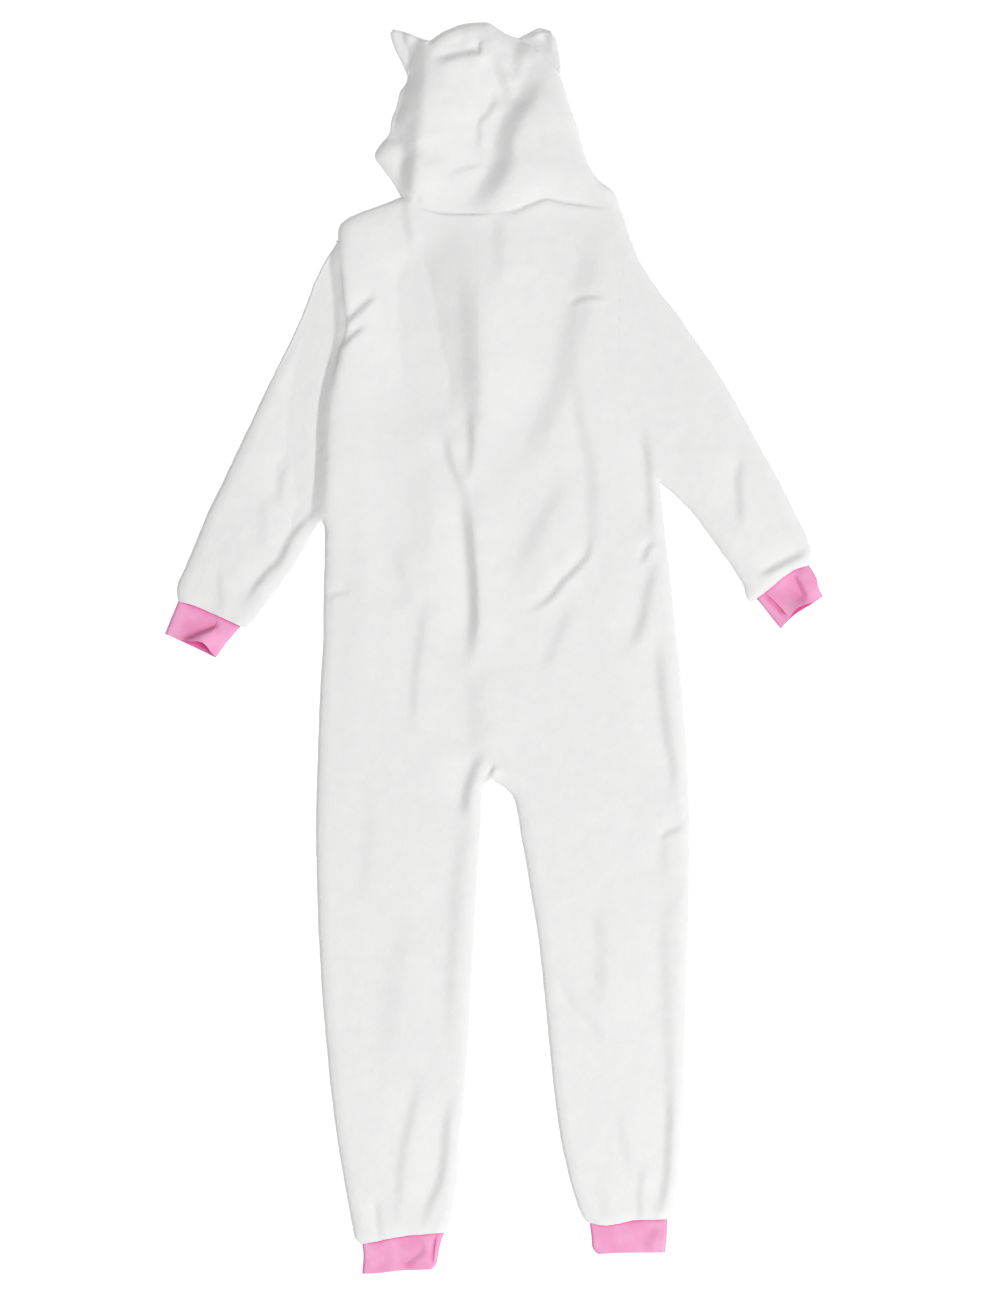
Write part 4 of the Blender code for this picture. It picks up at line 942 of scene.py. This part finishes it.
def button(number, at):
    """A round button that faces the floor: a raised rim, a dished middle and four holes."""
    inside = BUTTON_RADIUS - BUTTON_RIM
    # rows of radius and height, from the middle of the face over its rim to the back
    profile = (
        (0.01, BUTTON_DISH), (inside - 0.8, BUTTON_DISH), (inside, 0.1), (inside + 0.5, 0.0),
        (BUTTON_RADIUS - 0.5, 0.0), (BUTTON_RADIUS, BUTTON_EDGE),
        (BUTTON_RADIUS, BUTTON_THICK - BUTTON_EDGE), (BUTTON_RADIUS - 0.4, BUTTON_THICK),
        (0.01, BUTTON_THICK),
    )
    solid = ring_solid(profile, BUTTON_SIDES)
    holes = []
    for k in range(4):
        hole = ring_solid(((BUTTON_HOLE, -1), (BUTTON_HOLE, BUTTON_THICK + 1)), HOLE_SIDES)
        turn = np.pi / 4 + k * np.pi / 2
        hole.location = (BUTTON_HOLE_AT * np.cos(turn) * MM, BUTTON_HOLE_AT * np.sin(turn) * MM, 0)
        cut = solid.modifiers.new("hole", "BOOLEAN")
        cut.operation = "DIFFERENCE"
        cut.solver = "EXACT"
        cut.object = hole
        holes.append(hole)
    cut_mesh = bpy.data.meshes.new_from_object(
        solid.evaluated_get(bpy.context.evaluated_depsgraph_get())
    )
    for item in [*holes, solid]:
        bpy.data.objects.remove(item)
    cut_mesh.materials.clear()
    cut_mesh.materials.append(LOOKS["button"])
    cut_mesh.shade_smooth()
    cut_mesh.set_sharp_from_angle(angle=np.radians(SHARP_BUTTON))
    piece = add_object(f"shown_button_{number}", cut_mesh)
    piece.location = (at[0] * MM, at[1] * MM, 0)
    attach(piece, "root")
    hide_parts(f"button_{number}")


def new_material(name):
    """A material with its node tree and its shader."""
    material = bpy.data.materials.new(name)
    material.use_nodes = True
    tree = material.node_tree
    return material, tree, tree.nodes["Principled BSDF"]


def set_inputs(node, values):
    """Sets inputs of a node by their names."""
    for name, value in values.items():
        node.inputs[name].default_value = value


def noise(tree, scale, detail):
    """A noise texture, scale in lumps a metre."""
    coordinates = tree.nodes.new("ShaderNodeTexCoord").outputs["Object"]
    node = tree.nodes.new("ShaderNodeTexNoise")
    set_inputs(node, {"Scale": scale, "Detail": detail})
    tree.links.new(coordinates, node.inputs["Vector"])
    return node.outputs["Fac"]


def two_colours(tree, factor, dark, light, low=0.35, high=0.65):
    """A colour between two, as a factor goes from low to high."""
    node = tree.nodes.new("ShaderNodeValToRGB")
    node.color_ramp.elements[0].position = low
    node.color_ramp.elements[0].color = (*dark, 1)
    node.color_ramp.elements[1].position = high
    node.color_ramp.elements[1].color = (*light, 1)
    tree.links.new(factor, node.inputs["Fac"])
    return node.outputs["Color"]


def bump(tree, height, distance, strength, below=None):
    """A bump of a height in metres, over another bump."""
    node = tree.nodes.new("ShaderNodeBump")
    set_inputs(node, {"Distance": distance, "Strength": strength})
    tree.links.new(height, node.inputs["Height"])
    if below is not None:
        tree.links.new(below, node.inputs["Normal"])
    return node.outputs["Normal"]


def plush():
    """White plush: a short dense pile that scatters light at its edges."""
    material, tree, shader = new_material("plush_fleece")
    colour = two_colours(tree, noise(tree, scale=60, detail=3), PLUSH_DARK, PLUSH_LIGHT)
    tree.links.new(colour, shader.inputs["Base Color"])
    clumps = noise(tree, scale=220, detail=3)
    lumps = bump(tree, clumps, distance=0.0012, strength=0.22)
    hairs = noise(tree, scale=900, detail=3)
    fibres = bump(tree, hairs, distance=0.0006, strength=0.3, below=lumps)
    tree.links.new(fibres, shader.inputs["Normal"])
    set_inputs(shader, {
        "Roughness": 0.95, "Specular IOR Level": 0.12, "Sheen Weight": 0.28, "Sheen Roughness": 0.5,
    })
    return material


def button_white():
    """Glossy white plastic."""
    material, _, shader = new_material("button_plastic")
    set_inputs(shader, {"Base Color": (*BUTTON_WHITE, 1), "Roughness": 0.3})
    return material


def multiplied(tree, first, second):
    """The product of two colours. Sockets 6 and 7 of the mix take them, and 2 gives it."""
    mix = tree.nodes.new("ShaderNodeMix")
    mix.data_type = "RGBA"
    mix.blend_type = "MULTIPLY"
    mix.inputs[0].default_value = 1.0
    tree.links.new(first, mix.inputs[6])
    tree.links.new(second, mix.inputs[7])
    return mix.outputs[2]


def jersey():
    """Finely knitted pink jersey, with painted shade: a deeper, darker pink where other cloth
    closes it in.
    """
    material, tree, shader = new_material("pink_jersey")
    colour = two_colours(tree, noise(tree, scale=45, detail=4), PINK_DARK, PINK_LIGHT)
    # painted shade: ambient occlusion multiplies the pink by a deeper pink in creases and under
    # other cloth
    open_share = tree.nodes.new("ShaderNodeAmbientOcclusion")
    set_inputs(open_share, {"Distance": PAINTED_SHADE_REACH})
    painted_shade = two_colours(tree, open_share.outputs["AO"], PINK_PAINTED_SHADE, (1, 1, 1), *PAINTED_SHADE_OPEN)
    tree.links.new(multiplied(tree, colour, painted_shade), shader.inputs["Base Color"])
    stitches = noise(tree, scale=1100, detail=2)
    knit = bump(tree, stitches, distance=0.0004, strength=0.35)
    tree.links.new(knit, shader.inputs["Normal"])
    set_inputs(shader, {"Roughness": 0.8, "Specular IOR Level": 0.08})
    return material


def floor():
    """A white studio floor that glows, so that it shows next to no shadow."""
    mesh = bpy.data.meshes.new("studio_floor")
    half = FLOOR_SIZE / 2
    corners = [(x * half, y * half, -FLOOR_DROP) for x, y in ((-1, -1), (1, -1), (1, 1), (-1, 1))]
    mesh.from_pydata(corners, [], [(0, 1, 2, 3)])
    material, _, shader = new_material("studio_white")
    set_inputs(shader, {
        "Base Color": (FLOOR_GREY, FLOOR_GREY, FLOOR_GREY, 1), "Roughness": 1.0,
        "Specular IOR Level": 0.0, "Emission Color": (1, 1, 1, 1), "Emission Strength": FLOOR_GLOW,
    })
    mesh.materials.append(material)
    piece = add_object("studio_floor", mesh)


def light_and_camera():
    """An even sky, a large lamp to the right of the legs, and the camera straight above."""
    world = bpy.data.worlds.new("studio")
    bpy.context.scene.world = world
    world.use_nodes = True
    sky = world.node_tree.nodes["Background"]
    set_inputs(sky, {"Color": (1, 1, 1, 1), "Strength": SKY_STRENGTH})
    light = bpy.data.lights.new("key", "AREA")
    light.shape = "DISK"
    light.size = KEY_WIDTH
    light.energy = KEY_POWER
    lamp = add_object("key", light)
    lamp.location = KEY_PLACE
    lamp.rotation_euler = Vector(KEY_PLACE).to_track_quat("Z", "Y").to_euler()
    lamp.visible_camera = False
    camera = bpy.data.cameras.new("camera")
    camera.lens = LENS
    camera.sensor_width = SENSOR
    holder = add_object("camera", camera)
    reach = PHOTO_HEIGHT * LENS / SENSOR
    holder.location = (*PHOTO_CENTRE, reach)
    bpy.context.scene.camera = holder
    bpy.context.scene.view_settings.view_transform = "Standard"


# The material of each slot
LOOKS = {"fleece": plush(), "jersey": jersey(), "button": button_white()}


def main():
    lines = body_lines()
    edges = garment_edges(lines)
    centre = lines["left"]["centre"]
    button_band(centre)
    for number, at in enumerate(button_places(centre), 1):
        button(number, at)
    for side in OUTLINES:
        front_half(side, lines, edges)
        back_half(side, lines, edges)
        sleeve(side, edges)
        hood_half(side, edges)
    for side, shape in EARS.items():
        ear(side, shape)
    for name, shape in CUFFS.items():
        cuff(name, shape)
    floor()
    light_and_camera()


main()
